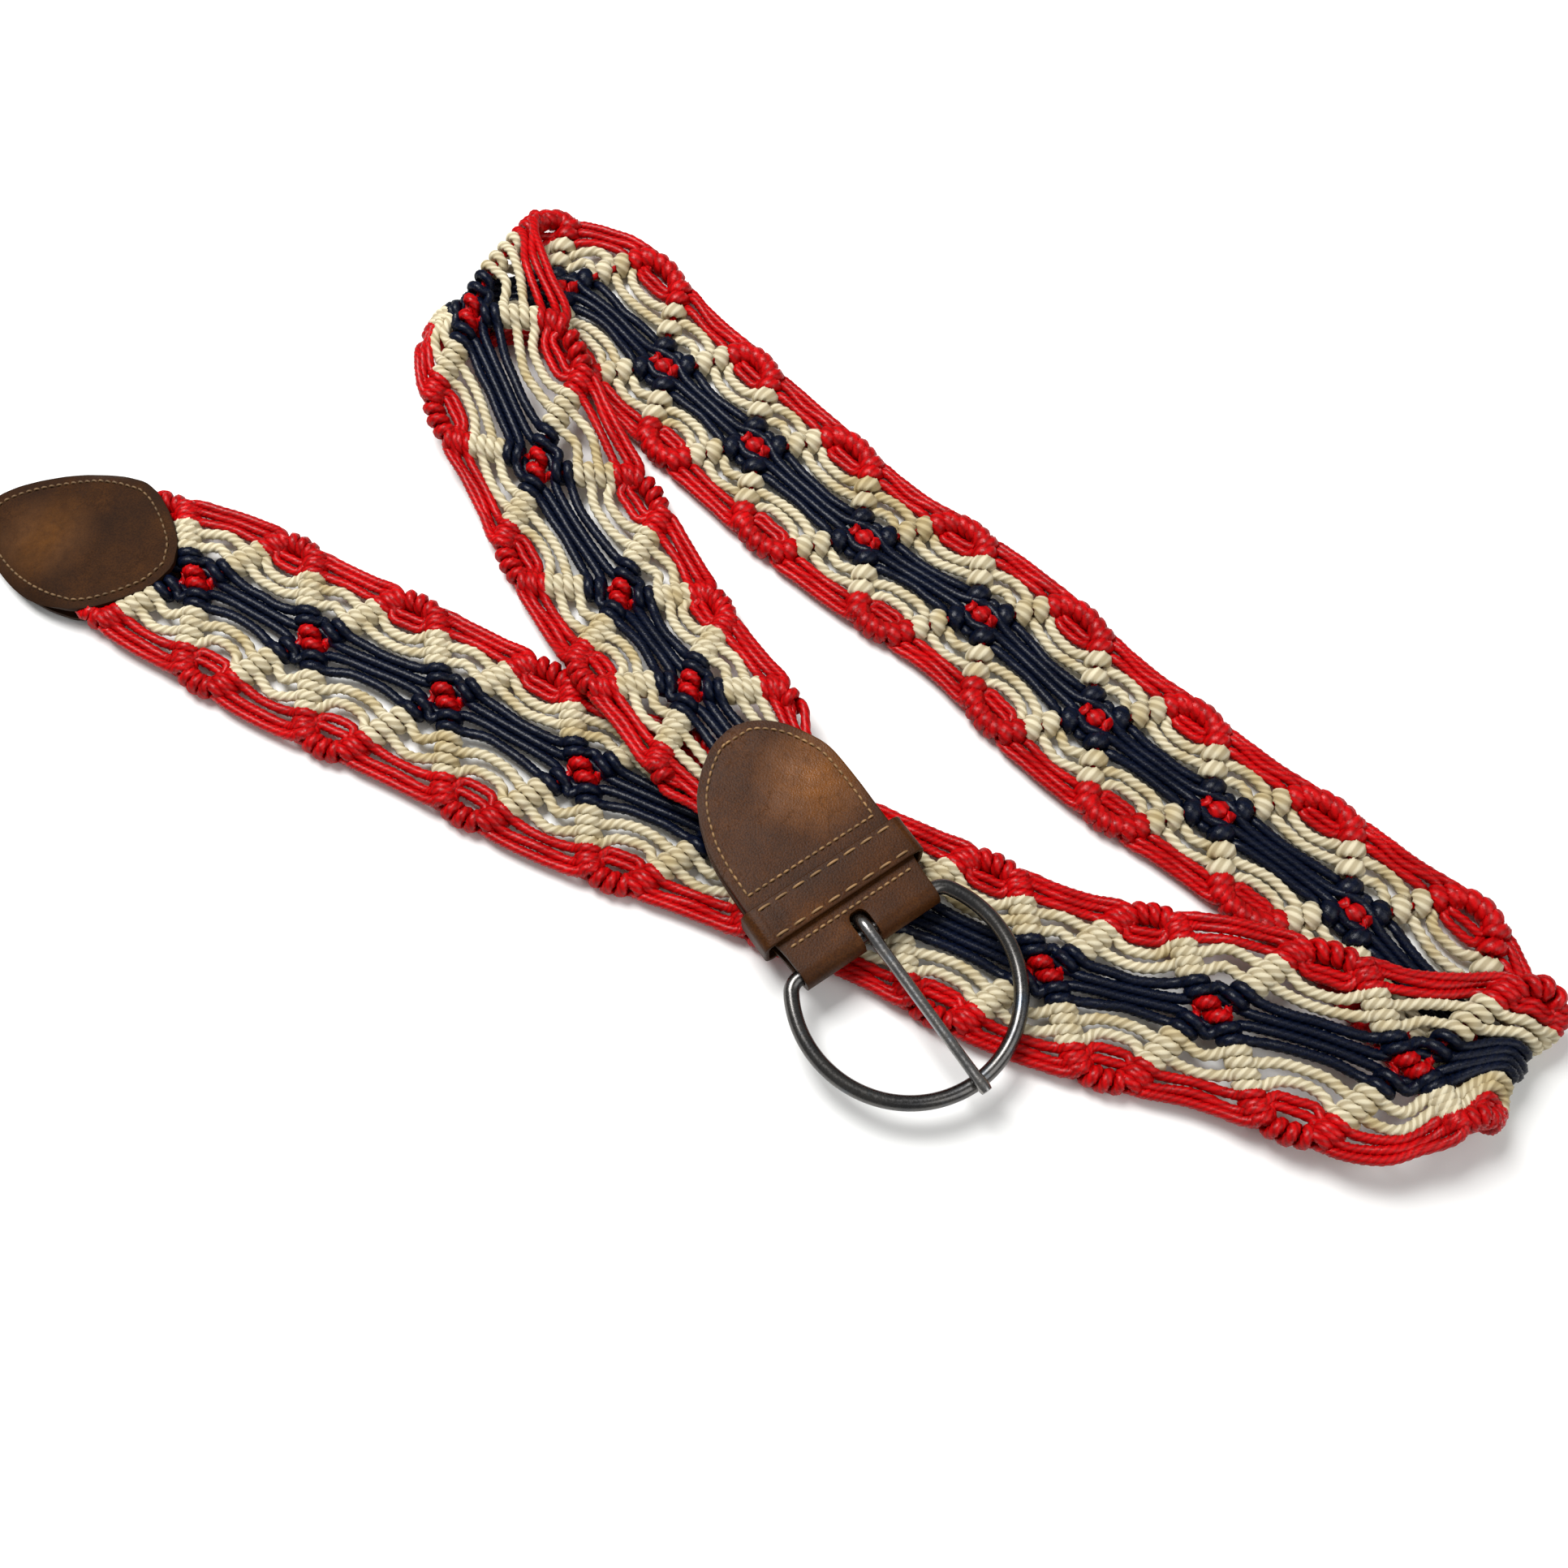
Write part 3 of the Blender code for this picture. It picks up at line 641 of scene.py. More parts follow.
def waxed_cotton_cord(name, colour):
    # Laid cotton drawn through wax: deep colour with small bright dashes on each ply, and painted
    # shade in the grooves between the plies
    material, tree, place, ridge = start_material(name)
    # Uneven dye over about 9 mm
    cloud = add_node(tree, "TexNoise", {"Vector": place, "Scale": 1.0 / (9 * MM)})
    # Fibre ends 0.5 mm apart, drawn coarser than the real 0.1 mm so that they show
    fibre = add_node(tree, "TexNoise", {
        "Vector": place, "Scale": 1.0 / (0.5 * MM), "Detail": 3.0, "Roughness": 0.6,
    })
    tone = add_node(tree, "ValToRGB", {"Fac": cloud},
                    ((0.3, rgba(colour, 0.70)), (0.7, rgba(colour))))
    # Painted shade: the grooves between the plies are drawn darker than the ridges
    groove_shade = add_node(tree, "ValToRGB", {"Fac": ridge},
                      ((0.0, (0.50, 0.50, 0.50, 1.0)), (0.7, (1.0, 1.0, 1.0, 1.0))))
    base = add_node(tree, "Mix", {
        0: 1.0, 6: tone, 7: groove_shade,
    }, data_type="RGBA", blend_type="MULTIPLY")
    # Wax lies thick and glossy in some places and is rubbed off in others
    wax = add_node(tree, "MapRange", {
        "Value": fibre, "From Min": 0.3, "From Max": 0.7,
        "To Min": 0.16, "To Max": 0.50,
    })
    bump = add_node(tree, "Bump", {
        "Height": fibre, "Strength": 0.5, "Distance": 0.16 * MM,
    })
    shader = add_node(tree, "BsdfPrincipled", {
        "Base Color": base.outputs[2], "Roughness": wax, "IOR": 1.43,
        "Specular IOR Level": 0.28, "Normal": bump,
    })
    add_node(tree, "OutputMaterial", {"Surface": shader})
    return material


def natural_cotton_cord(name, colour):
    # Undyed three-ply cotton: matt, with painted shade in the grooves between the plies and soft
    # fuzz
    material, tree, place, ridge = start_material(name)
    # Handled and yellowed patches over about 12 mm
    cloud = add_node(tree, "TexNoise", {"Vector": place, "Scale": 1.0 / (12 * MM)})
    fibre = add_node(tree, "TexNoise", {
        "Vector": place, "Scale": 1.0 / (0.45 * MM), "Detail": 4.0, "Roughness": 0.65,
    })
    tone = add_node(tree, "ValToRGB", {"Fac": cloud},
                    ((0.32, rgba(colour, 0.70, 0.63, 0.48)), (0.72, rgba(colour)),
                     (0.5, rgba(colour, 0.90))))
    # Painted shade: the grooves between the plies are drawn darker and browner than the ridges
    groove_shade = add_node(tree, "ValToRGB", {"Fac": ridge},
                      ((0.0, (0.42, 0.36, 0.26, 1.0)), (0.65, (1.0, 1.0, 1.0, 1.0))))
    base = add_node(tree, "Mix", {
        0: 1.0, 6: tone, 7: groove_shade,
    }, data_type="RGBA", blend_type="MULTIPLY")
    bump = add_node(tree, "Bump", {
        "Height": fibre, "Strength": 0.6, "Distance": 0.22 * MM,
    })
    shader = add_node(tree, "BsdfPrincipled", {
        "Base Color": base.outputs[2], "Roughness": 0.88, "IOR": 1.5,
        "Specular IOR Level": 0.2, "Normal": bump,
    })
    add_node(tree, "OutputMaterial", {"Surface": shader})
    return material


def tanned_leather(name, colour, grain, gloss, worn, polish_and_sheen_at):
    # Vegetable-tanned leather: fine pebbled grain, creases with painted shade, darkened edges, and
    # a polished shine painted lighter as a highlight
    material, tree, place, rim = start_material(name)
    pebble = add_node(tree, "TexVoronoi", {"Vector": place, "Scale": 1.0 / grain},
                      feature="DISTANCE_TO_EDGE")
    # Stains and rubbed places over about 14 mm
    cloud = add_node(tree, "TexNoise", {
        "Vector": place, "Scale": 1.0 / (14 * MM), "Detail": 5.0, "Roughness": 0.62,
    })
    pores = add_node(tree, "TexNoise", {
        "Vector": place, "Scale": 1.0 / (0.5 * MM), "Detail": 3.0,
    })
    tone = add_node(tree, "ValToRGB", {"Fac": cloud},
                    ((0.30, rgba(colour, 0.55)), (0.75, rgba(colour, 1.7, 1.75, 1.6)),
                     (0.52, rgba(colour))))
    speck = add_node(tree, "ValToRGB", {"Fac": pores},
                     ((0.36, (0.60, 0.57, 0.54, 1.0)), (0.6, (1.0, 1.0, 1.0, 1.0))))
    base = add_node(tree, "Mix", {
        0: 1.0, 6: tone, 7: speck,
    }, data_type="RGBA", blend_type="MULTIPLY")
    edged = add_node(tree, "Mix", {
        0: rim, 6: base.outputs[2], 7: rgba(colour, worn),
    }, data_type="RGBA")
    # Place that hands have polished, about 30 mm across and broken up by the grain; there the
    # colour is also painted lighter as a highlight
    away = add_node(tree, "VectorMath", {0: place, 1: polish_and_sheen_at}, operation="DISTANCE")
    polish_and_sheen = add_node(tree, "MapRange", {
        "Value": away.outputs["Value"], "From Min": 17 * MM, "From Max": 3 * MM,
        "To Min": 0.0, "To Max": 1.0,
    })
    broken = add_node(tree, "TexNoise", {
        "Vector": place, "Scale": 1.0 / (3 * MM), "Detail": 5.0, "Roughness": 0.7,
    })
    patch = add_node(tree, "Math", {
        0: polish_and_sheen, 1: broken,
    }, operation="MULTIPLY")
    # Painted highlight: the polished place is drawn several times lighter
    painted_sheen = add_node(tree, "Mix", {
        0: patch, 6: edged.outputs[2], 7: rgba(colour, 4.2, 4.6, 5.0),
    }, data_type="RGBA")
    # Creases about 9 mm apart that come and go; their lines get painted shade
    bent = add_node(tree, "VectorMath", {
        0: broken.outputs["Color"], 1: (7 * MM, 7 * MM, 7 * MM), 2: place,
    }, operation="MULTIPLY_ADD")
    crease = add_node(tree, "TexVoronoi", {
        "Vector": bent, "Scale": 1.0 / (9 * MM),
    }, feature="DISTANCE_TO_EDGE")
    line = add_node(tree, "MapRange", {
        "Value": crease, "From Min": 0.0, "From Max": 0.03,
        "To Min": 0.45, "To Max": 1.0,
    })
    come = add_node(tree, "MapRange", {
        "Value": cloud, "From Min": 0.53, "From Max": 0.62,
        "To Min": 1.0, "To Max": 0.0,
    })
    lined = add_node(tree, "Math", {
        0: line, 1: come,
    }, operation="MAXIMUM")
    # Painted shade: the colour is drawn darker along the crease lines
    crease_shaded = add_node(tree, "Mix", {
        0: lined, 6: rgba(colour, 0.55), 7: painted_sheen.outputs[2],
    }, data_type="RGBA")
    shine = add_node(tree, "MapRange", {
        "Value": patch, "From Min": 0.0, "From Max": 0.6,
        "To Min": gloss + 0.1, "To Max": gloss - 0.12,
    })
    height = add_node(tree, "Math", {
        0: pebble, 1: pores,
    }, operation="ADD")
    folded = add_node(tree, "Math", {
        0: height, 1: lined,
    }, operation="ADD")
    bump = add_node(tree, "Bump", {
        "Height": folded, "Strength": 0.4, "Distance": 0.18 * MM,
    })
    shader = add_node(tree, "BsdfPrincipled", {
        "Base Color": crease_shaded.outputs[2], "Roughness": shine, "IOR": 1.5,
        "Specular IOR Level": 0.14, "Normal": bump,
    })
    add_node(tree, "OutputMaterial", {"Surface": shader})
    return material


def sewing_thread(name, colour):
    # Waxed linen thread: soft shine and a slightly uneven tan
    material, tree, place, _ = start_material(name)
    cloud = add_node(tree, "TexNoise", {"Vector": place, "Scale": 1.0 / (3 * MM)})
    tone = add_node(tree, "ValToRGB", {"Fac": cloud},
                    ((0.35, rgba(colour, 0.55)), (0.65, rgba(colour))))
    shader = add_node(tree, "BsdfPrincipled", {
        "Base Color": tone, "Roughness": 0.6, "IOR": 1.5,
    })
    add_node(tree, "OutputMaterial", {"Surface": shader})
    return material


def gunmetal_plated_steel(name, colour, painted_sheen):
    # Drawn steel wire with dark gunmetal plating: sharp highlights; the last argument lightens the
    # colour as a painted highlight
    material, tree, place, _ = start_material(name)
    cloud = add_node(tree, "TexNoise", {
        "Vector": place, "Scale": 1.0 / (8 * MM), "Detail": 4.0,
    })
    # Fine rub marks 0.6 mm apart
    rub = add_node(tree, "TexNoise", {
        "Vector": place, "Scale": 1.0 / (0.6 * MM), "Detail": 3.0,
    })
    tone = add_node(tree, "ValToRGB", {"Fac": cloud},
                    ((0.35, rgba(colour, 0.7 * painted_sheen)),
                     (0.72, rgba(colour, 0.85 * painted_sheen, painted_sheen, 1.15 * painted_sheen)),
                     (0.55, rgba(colour, 1.05 * painted_sheen, painted_sheen, 0.92 * painted_sheen))))
    shine = add_node(tree, "MapRange", {
        "Value": rub, "From Min": 0.3, "From Max": 0.7,
        "To Min": 0.20, "To Max": 0.34,
    })
    bump = add_node(tree, "Bump", {
        "Height": rub, "Strength": 0.05, "Distance": 0.1 * MM,
    })
    shader = add_node(tree, "BsdfPrincipled", {
        "Base Color": tone, "Metallic": 1.0,
        "Roughness": shine, "Normal": bump,
    })
    add_node(tree, "OutputMaterial", {"Surface": shader})
    return material


def plain_paper(name, colour):
    # Pale matt backdrop paper
    material, tree, place, _ = start_material(name)
    grain = add_node(tree, "TexNoise", {"Vector": place, "Scale": 1.0 / (2 * MM)})
    bump = add_node(tree, "Bump", {
        "Height": grain, "Strength": 0.02, "Distance": 0.1 * MM,
    })
    shader = add_node(tree, "BsdfPrincipled", {
        "Base Color": rgba(colour), "Roughness": 0.9, "Normal": bump,
    })
    add_node(tree, "OutputMaterial", {"Surface": shader})
    return material


def sheet_data(name, points, rim, skip=()):
    # Open sheet from a grid of points; rim holds how near each one is to the edge
    count, width = points.shape[:2]
    index = np.arange(count * width).reshape(count, width)
    faces = []
    for i in range(count - 1):
        for j in range(width - 1):
            if (i, j) in skip:
                continue
            corners = (index[i, j], index[i + 1, j], index[i + 1, j + 1], index[i, j + 1])
            faces.append([int(c) for c in corners])
    used = sorted({c for face in faces for c in face})
    order = {c: k for k, c in enumerate(used)}
    flat = points.reshape(-1, 3)[used]
    data = bpy.data.meshes.new(name)
    data.from_pydata(flat.tolist(), [], [[order[c] for c in face] for face in faces])
    return shaded(data, rim.reshape(-1)[used])


def thicken(item, thickness, offset, edge):
    solid = item.modifiers.new("Thickness", "SOLIDIFY")
    solid.thickness = thickness
    solid.offset = offset
    solid.use_even_offset = False
    round_edge = item.modifiers.new("Round edge", "BEVEL")
    round_edge.width = edge
    round_edge.segments = 2
    round_edge.limit_method = "ANGLE"
    round_edge.angle_limit = math.radians(50.0)


def end_crowded(count, power):
    # Places from 0 to 1 that crowd towards both ends
    t = np.linspace(-1.0, 1.0, count)
    return 0.5 + 0.5 * np.sign(t) * (1.0 - (1.0 - np.abs(t)) ** power)


def soft_wave(x, y, size):
    # Slow uneven waves of worn leather
    return size * (
        np.sin(310.0 * x + 140.0 * y)
        + 0.6 * np.sin(520.0 * y - 260.0 * x + 1.3)
        + 0.4 * np.sin(840.0 * x + 610.0 * y + 2.1)
    )


def tip_surface(place, share, base, lifted):
    half = table_at(TIP_ROWS, TIP_SLOPES, 1, place) * TIP_HALF_WIDTH
    middle = table_at(TIP_ROWS, TIP_SLOPES, 2, place)
    edge = table_at(TIP_ROWS, TIP_SLOPES, 3, place)
    lift = edge + (middle - edge) * (1.0 - np.abs(share) ** 8)
    along = place * TIP_LENGTH - TIP_FRONT_END
    side = share * half
    height = base + (lift * TIP_LIFT if lifted else 0.0 * lift)
    cos, sin = math.cos(TIP_HEADING), math.sin(TIP_HEADING)
    return np.stack([along * cos - side * sin, along * sin + side * cos, height], axis=-1)


def tip_sheet(name, base, lifted):
    place = end_crowded(61, 1.6)[:, None] * np.ones(29)
    share = np.ones((61, 1)) * (2.0 * end_crowded(29, 1.5) - 1.0)[None, :]
    points = tip_surface(place, share, base, lifted)
    if lifted:
        points[:, :, 2] += soft_wave(points[:, :, 0], points[:, :, 1], 0.07 * MM)
    near = np.maximum(np.abs(share), np.abs(2.0 * place - 1.0) ** 2)
    return sheet_data(name, points, np.clip((near - 0.93) / 0.07, 0.0, 1.0))


def buckle_frame():
    # Local X runs ahead of the bar, Y along the bar, Z up
    return Matrix.Translation(BAR_CENTRE) @ Matrix.Rotation(BUCKLE_HEADING, 4, "Z")


def to_world(points, matrix):
    turn = np.array(matrix.to_3x3())
    return points @ turn.T + np.array(matrix.translation)


def tab_reach():
    size = sizes()
    return size.wire + CLEAR + 0.5 * size.leather


def tab_surface(place, share, lower=False):
    # Middle of one layer of the folded tab, in the buckle's frame
    half = table_at(TAB_ROWS, TAB_SLOPES, 1, place)
    lean = table_at(TAB_ROWS, TAB_SLOPES, 2, place)
    across = (share * half + lean) * TAB_HALF_WIDTH
    height = -tab_reach() + 0.0 * place if lower else tab_reach() - TAB_SLOPE * place
    return np.stack([-place * TAB_LENGTH + 0.0 * share, across, height + 0.0 * share], axis=-1)


def tab_columns():
    inner = np.linspace(-SLOT_SHARE, SLOT_SHARE, 4)
    outer = SLOT_SHARE + (1.0 - SLOT_SHARE) * np.array(
        [0.0, 0.1, 0.22, 0.36, 0.5, 0.64, 0.76, 0.86, 0.93, 0.97, 1.0])
    return np.concatenate([-outer[:0:-1], inner, outer[1:]])


def tab_sheet():
    columns = tab_columns()
    near = SLOT_PLACE * np.sin(np.linspace(0.0, 0.5 * math.pi, 11))
    far = SLOT_PLACE + (1.0 - SLOT_PLACE) * (1.0 - (1.0 - np.linspace(0.0, 1.0, 52)) ** 1.5)
    places = np.concatenate([near, far[1:]])
    rows = [tab_surface(np.full(len(columns), p), columns) for p in places[::-1]]
    bend = 12
    for step in range(1, bend):
        angle = math.pi * (0.5 - step / bend)
        row = tab_surface(np.zeros(len(columns)), columns)
        row[:, 0] = tab_reach() * math.cos(angle)
        row[:, 2] = tab_reach() * math.sin(angle)
        rows.append(row)
    rows.extend(tab_surface(np.full(len(columns), p), columns, True) for p in places)
    points = np.array(rows)
    upper = len(places)
    low = int(np.argmin(np.abs(columns + SLOT_SHARE)))
    # The slot's blind end is round
    for k, place in enumerate(places[::-1]):
        if 0.5 * SLOT_PLACE < place <= SLOT_PLACE + 1e-9:
            narrow = math.sqrt(max(0.0, 1.0 - (2.0 * place / SLOT_PLACE - 1.0) ** 2)) * 0.75 + 0.25
            middle = points[k, low:low + 4, 1].mean()
            points[k, low:low + 4, 1] = middle + narrow * (points[k, low:low + 4, 1] - middle)
    wave = soft_wave(points[:upper, :, 0], points[:upper, :, 1], 0.06 * MM)
    points[:upper, :, 2] += wave * np.clip(places[::-1] * 3.0 - 0.6, 0.0, 1.0)[:, None]
    first = upper - len(near)
    last = len(points) - upper + len(near) - 2
    skip = {(i, j) for i in range(first, last + 1) for j in range(low, low + 3)}
    rim = np.zeros(points.shape[:2])
    rim += np.clip((np.abs(columns) - 0.93) / 0.07, 0.0, 1.0)[None, :]
    rim[:upper] += np.clip((places[::-1] - 0.97) / 0.03, 0.0, 1.0)[:, None]
    world = to_world(points, buckle_frame())
    return sheet_data("tab_leather", world, np.clip(rim, 0.0, 1.0), skip)


def keeper_top():
    size = sizes()
    return size.wire + CLEAR + size.leather + CLEAR + 0.5 * KEEPER_THICK


def keeper_sheet():
    # Narrow leather loop round the tab, with wrinkles near its right end
    inside = keeper_top()
    outline = []
    for index, (side, level) in enumerate(((1, 1), (-1, 1), (-1, -1), (1, -1))):
        for step in range(9):
            angle = math.radians(90.0 * index + 11.25 * step)
            outline.append((
                side * (KEEPER_HALF - KEEPER_CORNER) + KEEPER_CORNER * math.cos(angle),
                level * (inside - KEEPER_CORNER) + KEEPER_CORNER * math.sin(angle),
            ))
    closed = []
    for (y0, z0), (y1, z1) in zip(outline, outline[1:] + outline[:1]):
        length = math.hypot(y1 - y0, z1 - z0)
        pieces = max(1, int(length / (1.2 * MM)))
        closed.extend((y0 + (y1 - y0) * k / pieces, z0 + (z1 - z0) * k / pieces)
                      for k in range(pieces))
    closed = np.array(closed + closed[:1])
    shares = end_crowded(13, 1.4)
    along = -KEEPER_FRONT - shares * KEEPER_WIDTH
    points = np.zeros((len(closed), len(shares), 3))
    points[:, :, 0] = along[None, :]
    points[:, :, 1] = closed[:, None, 0]
    points[:, :, 2] = closed[:, None, 1]
    on_top = (closed[:, 1] > 0.95 * inside)[:, None]
    crown = KEEPER_CROWN * (1.0 - (2.0 * shares - 1.0) ** 2)
    fold = np.exp(-((closed[:, 0] + 0.78 * KEEPER_HALF) / (3.4 * MM)) ** 2)[:, None]
    wrinkle = 0.28 * MM * fold * np.sin(closed[:, 0] / (0.42 * MM) + 1.2)[:, None]
    points[:, :, 2] += on_top * (crown[None, :] + wrinkle)
    rim = np.clip((np.abs(2.0 * shares - 1.0) - 0.82) / 0.18, 0.0, 1.0)[None, :]
    rim = rim * np.ones((len(closed), 1))
    return sheet_data("keeper_leather", to_world(points, buckle_frame()), rim)


def stitch_row(points, normals, pitch, share, thread):
    # Stitches along a line on the leather: each one dives into its hole at both ends
    gaps = np.linalg.norm(np.diff(points, axis=0), axis=1)
    places = np.concatenate([[0.0], np.cumsum(gaps)])
    count = max(1, int(round(places[-1] / pitch)))
    pitch = places[-1] / count
    tubes = []
    dive = np.array([-0.6, 0.25, 0.55, 0.62, 0.55, 0.25, -0.6])
    for k in range(count):
        at = (k + 0.5 + share * np.linspace(-0.5, 0.5, 7)) * pitch
        line = np.stack([np.interp(at, places, points[:, i]) for i in range(3)], axis=1)
        up = unit(np.stack([np.interp(at, places, normals[:, i]) for i in range(3)], axis=1))
        line = line + up * (dive * thread)[:, None]
        along = unit(np.gradient(line, axis=0))
        out = unit(up - along * np.sum(up * along, axis=1, keepdims=True))
        side = np.cross(along, out)
        corner = 2.0 * math.pi * np.arange(6) / 6
        wide = 0.5 * thread * np.array([0.7, 1.0, 1.1, 1.1, 1.1, 1.0, 0.7])
        rings = (
            line[:, None, :]
            + (wide[:, None] * np.cos(corner)[None, :])[:, :, None] * side[:, None, :]
            + (wide[:, None] * np.sin(corner)[None, :])[:, :, None] * out[:, None, :]
        )
        tubes.append((rings.reshape(-1, 3), *tube_faces(7, 6), np.ones(42)))
    return tubes


def inset_line(line, distance):
    # The same line moved towards its own left, without the loops that sharp ends make
    along = unit(np.gradient(line, axis=0))
    moved = line + distance * np.stack([-along[:, 1], along[:, 0]], axis=1)
    away = np.linalg.norm(moved[:, None, :] - line[None, :, :], axis=2).min(axis=1)
    moved = moved[away > 0.97 * distance]
    gaps = np.linalg.norm(np.diff(moved, axis=0), axis=1)
    return moved[np.concatenate([[True], gaps > 0.1 * MM])]


def tip_stitches():
    size = sizes()
    run = end_crowded(140, 2.0)
    place = np.concatenate([run, run[::-1]])
    side = np.concatenate([-np.ones(140), np.ones(140)])
    half = table_at(TIP_ROWS, TIP_SLOPES, 1, place) * TIP_HALF_WIDTH
    outline = np.stack([place * TIP_LENGTH - TIP_FRONT_END, side * half], axis=1)
    inner = inset_line(outline, TIP_STITCH_INSET)
    inner = np.concatenate([inner, inner[:1]])
    inner_place = np.clip((inner[:, 0] + TIP_FRONT_END) / TIP_LENGTH, 0.0, 1.0)
    inner_half = table_at(TIP_ROWS, TIP_SLOPES, 1, inner_place) * TIP_HALF_WIDTH
    share = np.clip(inner[:, 1] / inner_half, -1.0, 1.0)
    base = size.leather + CLEAR + size.leather
    points = tip_surface(inner_place, share, base, True)
    ahead = tip_surface(np.clip(inner_place + 0.01, 0.0, 1.0), share, base, True)
    behind = tip_surface(np.clip(inner_place - 0.01, 0.0, 1.0), share, base, True)
    left = tip_surface(inner_place, np.clip(share + 0.05, -1.0, 1.0), base, True)
    right = tip_surface(inner_place, np.clip(share - 0.05, -1.0, 1.0), base, True)
    normals = unit(np.cross(ahead - behind, left - right))
    return stitch_row(points, normals, size.stitch_pitch, STITCH_SHARE, size.thread)


def tab_stitches():
    size = sizes()
    tubes = []
    place = 0.37 + 0.62 * (1.0 - (1.0 - np.linspace(0.0, 1.0, 60)) ** 1.6)
    right = tab_surface(place, np.full(60, -1.0))
    left = tab_surface(place, np.full(60, 1.0))
    outline = np.concatenate([left, right[::-1]])
    inner = inset_line(outline[:, :2], TAB_STITCH_INSET)
    rows = [inner]
    for line_place in TAB_STITCH_LINES:
        across = np.linspace(-0.90, 0.90, 30)
        rows.append(tab_surface(np.full(30, line_place), across)[:, :2])
    for line in rows:
        top = tab_reach() + 0.5 * size.leather + TAB_SLOPE * line[:, 0] / TAB_LENGTH
        tubes.extend(buckle_stitches(np.column_stack([line, top]), size.stitch_pitch))
    return tubes


def buckle_stitches(points, pitch):
    # One row of stitches on the top of the tab or of the keeper
    world = to_world(points, buckle_frame())
    normals = np.tile([0.0, 0.0, 1.0], (len(world), 1))
    return stitch_row(world, normals, pitch, STITCH_SHARE, sizes().thread)


def keeper_stitches():
    tubes = []
    for place in KEEPER_STITCH_LINES:
        across = np.linspace(-0.88, 0.88, 40) * KEEPER_HALF
        crown = KEEPER_CROWN * (1.0 - (2.0 * place - 1.0) ** 2)
        points = np.column_stack([
            np.full(40, -KEEPER_FRONT - place * KEEPER_WIDTH),
            across,
            np.full(40, keeper_top() + 0.5 * KEEPER_THICK + crown),
        ])
        tubes.extend(buckle_stitches(points, KEEPER_STITCH_LENGTH * sizes().stitch_pitch))
    return tubes


def ring_line():
    reach = RING_RADIUS - RING_CORNER
    ahead = RING_CORNER - RING_AHEAD
    half = math.sqrt(reach ** 2 - ahead ** 2)
    meet = math.atan2(half, ahead)
    angles = math.pi + (meet - math.pi) * np.linspace(0.0, 1.0, 9)[1:]
    corner = np.stack([RING_CORNER + RING_CORNER * np.cos(angles),
                       half + RING_CORNER * np.sin(angles)], axis=1)
    sweep = meet - 2.0 * meet * np.linspace(0.0, 1.0, 97)[1:-1]
    bow = np.stack([RING_AHEAD + RING_RADIUS * np.cos(sweep), RING_RADIUS * np.sin(sweep)], axis=1)
    mirror = corner[::-1] * np.array([1.0, -1.0])
    bar = np.stack([np.zeros(9), np.linspace(-half, half, 9)], axis=1)
    return np.concatenate([bar, corner, bow, mirror])


def prong_line():
    reach = sizes().wire + CLEAR + sizes().prong
    angles = np.radians(np.linspace(285.0, 90.0, 27))
    hook = np.stack([reach * np.cos(angles), reach * np.sin(angles)], axis=1)
    share = np.array([0.06, 0.12, 0.25, 0.40, 0.55, 0.70, 0.82, 0.90, 0.94, 0.98, 1.0])
    shaft = np.stack([share * PRONG_REACH, np.full(11, reach)], axis=1)
    hook_radii = 1.0 + 0.17 * np.clip((np.linspace(0.0, 1.0, 27) - 0.45) / 0.3, 0.0, 1.0)
    shaft_radii = [1.16, 1.08, 1.0, 0.97, 0.95, 0.94, 0.94, 0.98, 1.08, 1.10, 0.95]
    radii = np.concatenate([hook_radii, shaft_radii])
    line = np.concatenate([hook, shaft])
    return np.stack([line[:, 0], np.zeros(len(line)), line[:, 1]], axis=1), radii


def wire_curve(name, points, radii, depth, closed):
    curve = bpy.data.curves.new(name, "CURVE")
    curve.dimensions = "3D"
    curve.bevel_depth = depth
    curve.bevel_resolution = 8
    curve.use_fill_caps = not closed
    spline = curve.splines.new("POLY")
    spline.points.add(len(points) - 1)
    for point, place, radius in zip(spline.points, points, radii):
        point.co = (*place, 1.0)
        point.radius = radius
    spline.use_cyclic_u = closed
    return curve


def knotted_cords(name, runs, sides, lobes, depth, step, lay, material, slot, *nodes):
    tubes = [tube_arrays(run, step, sides, lobes, depth, lay) for run in runs]
    return add_piece(name, joined_tubes(name, tubes), material, "strap", slot, *nodes)


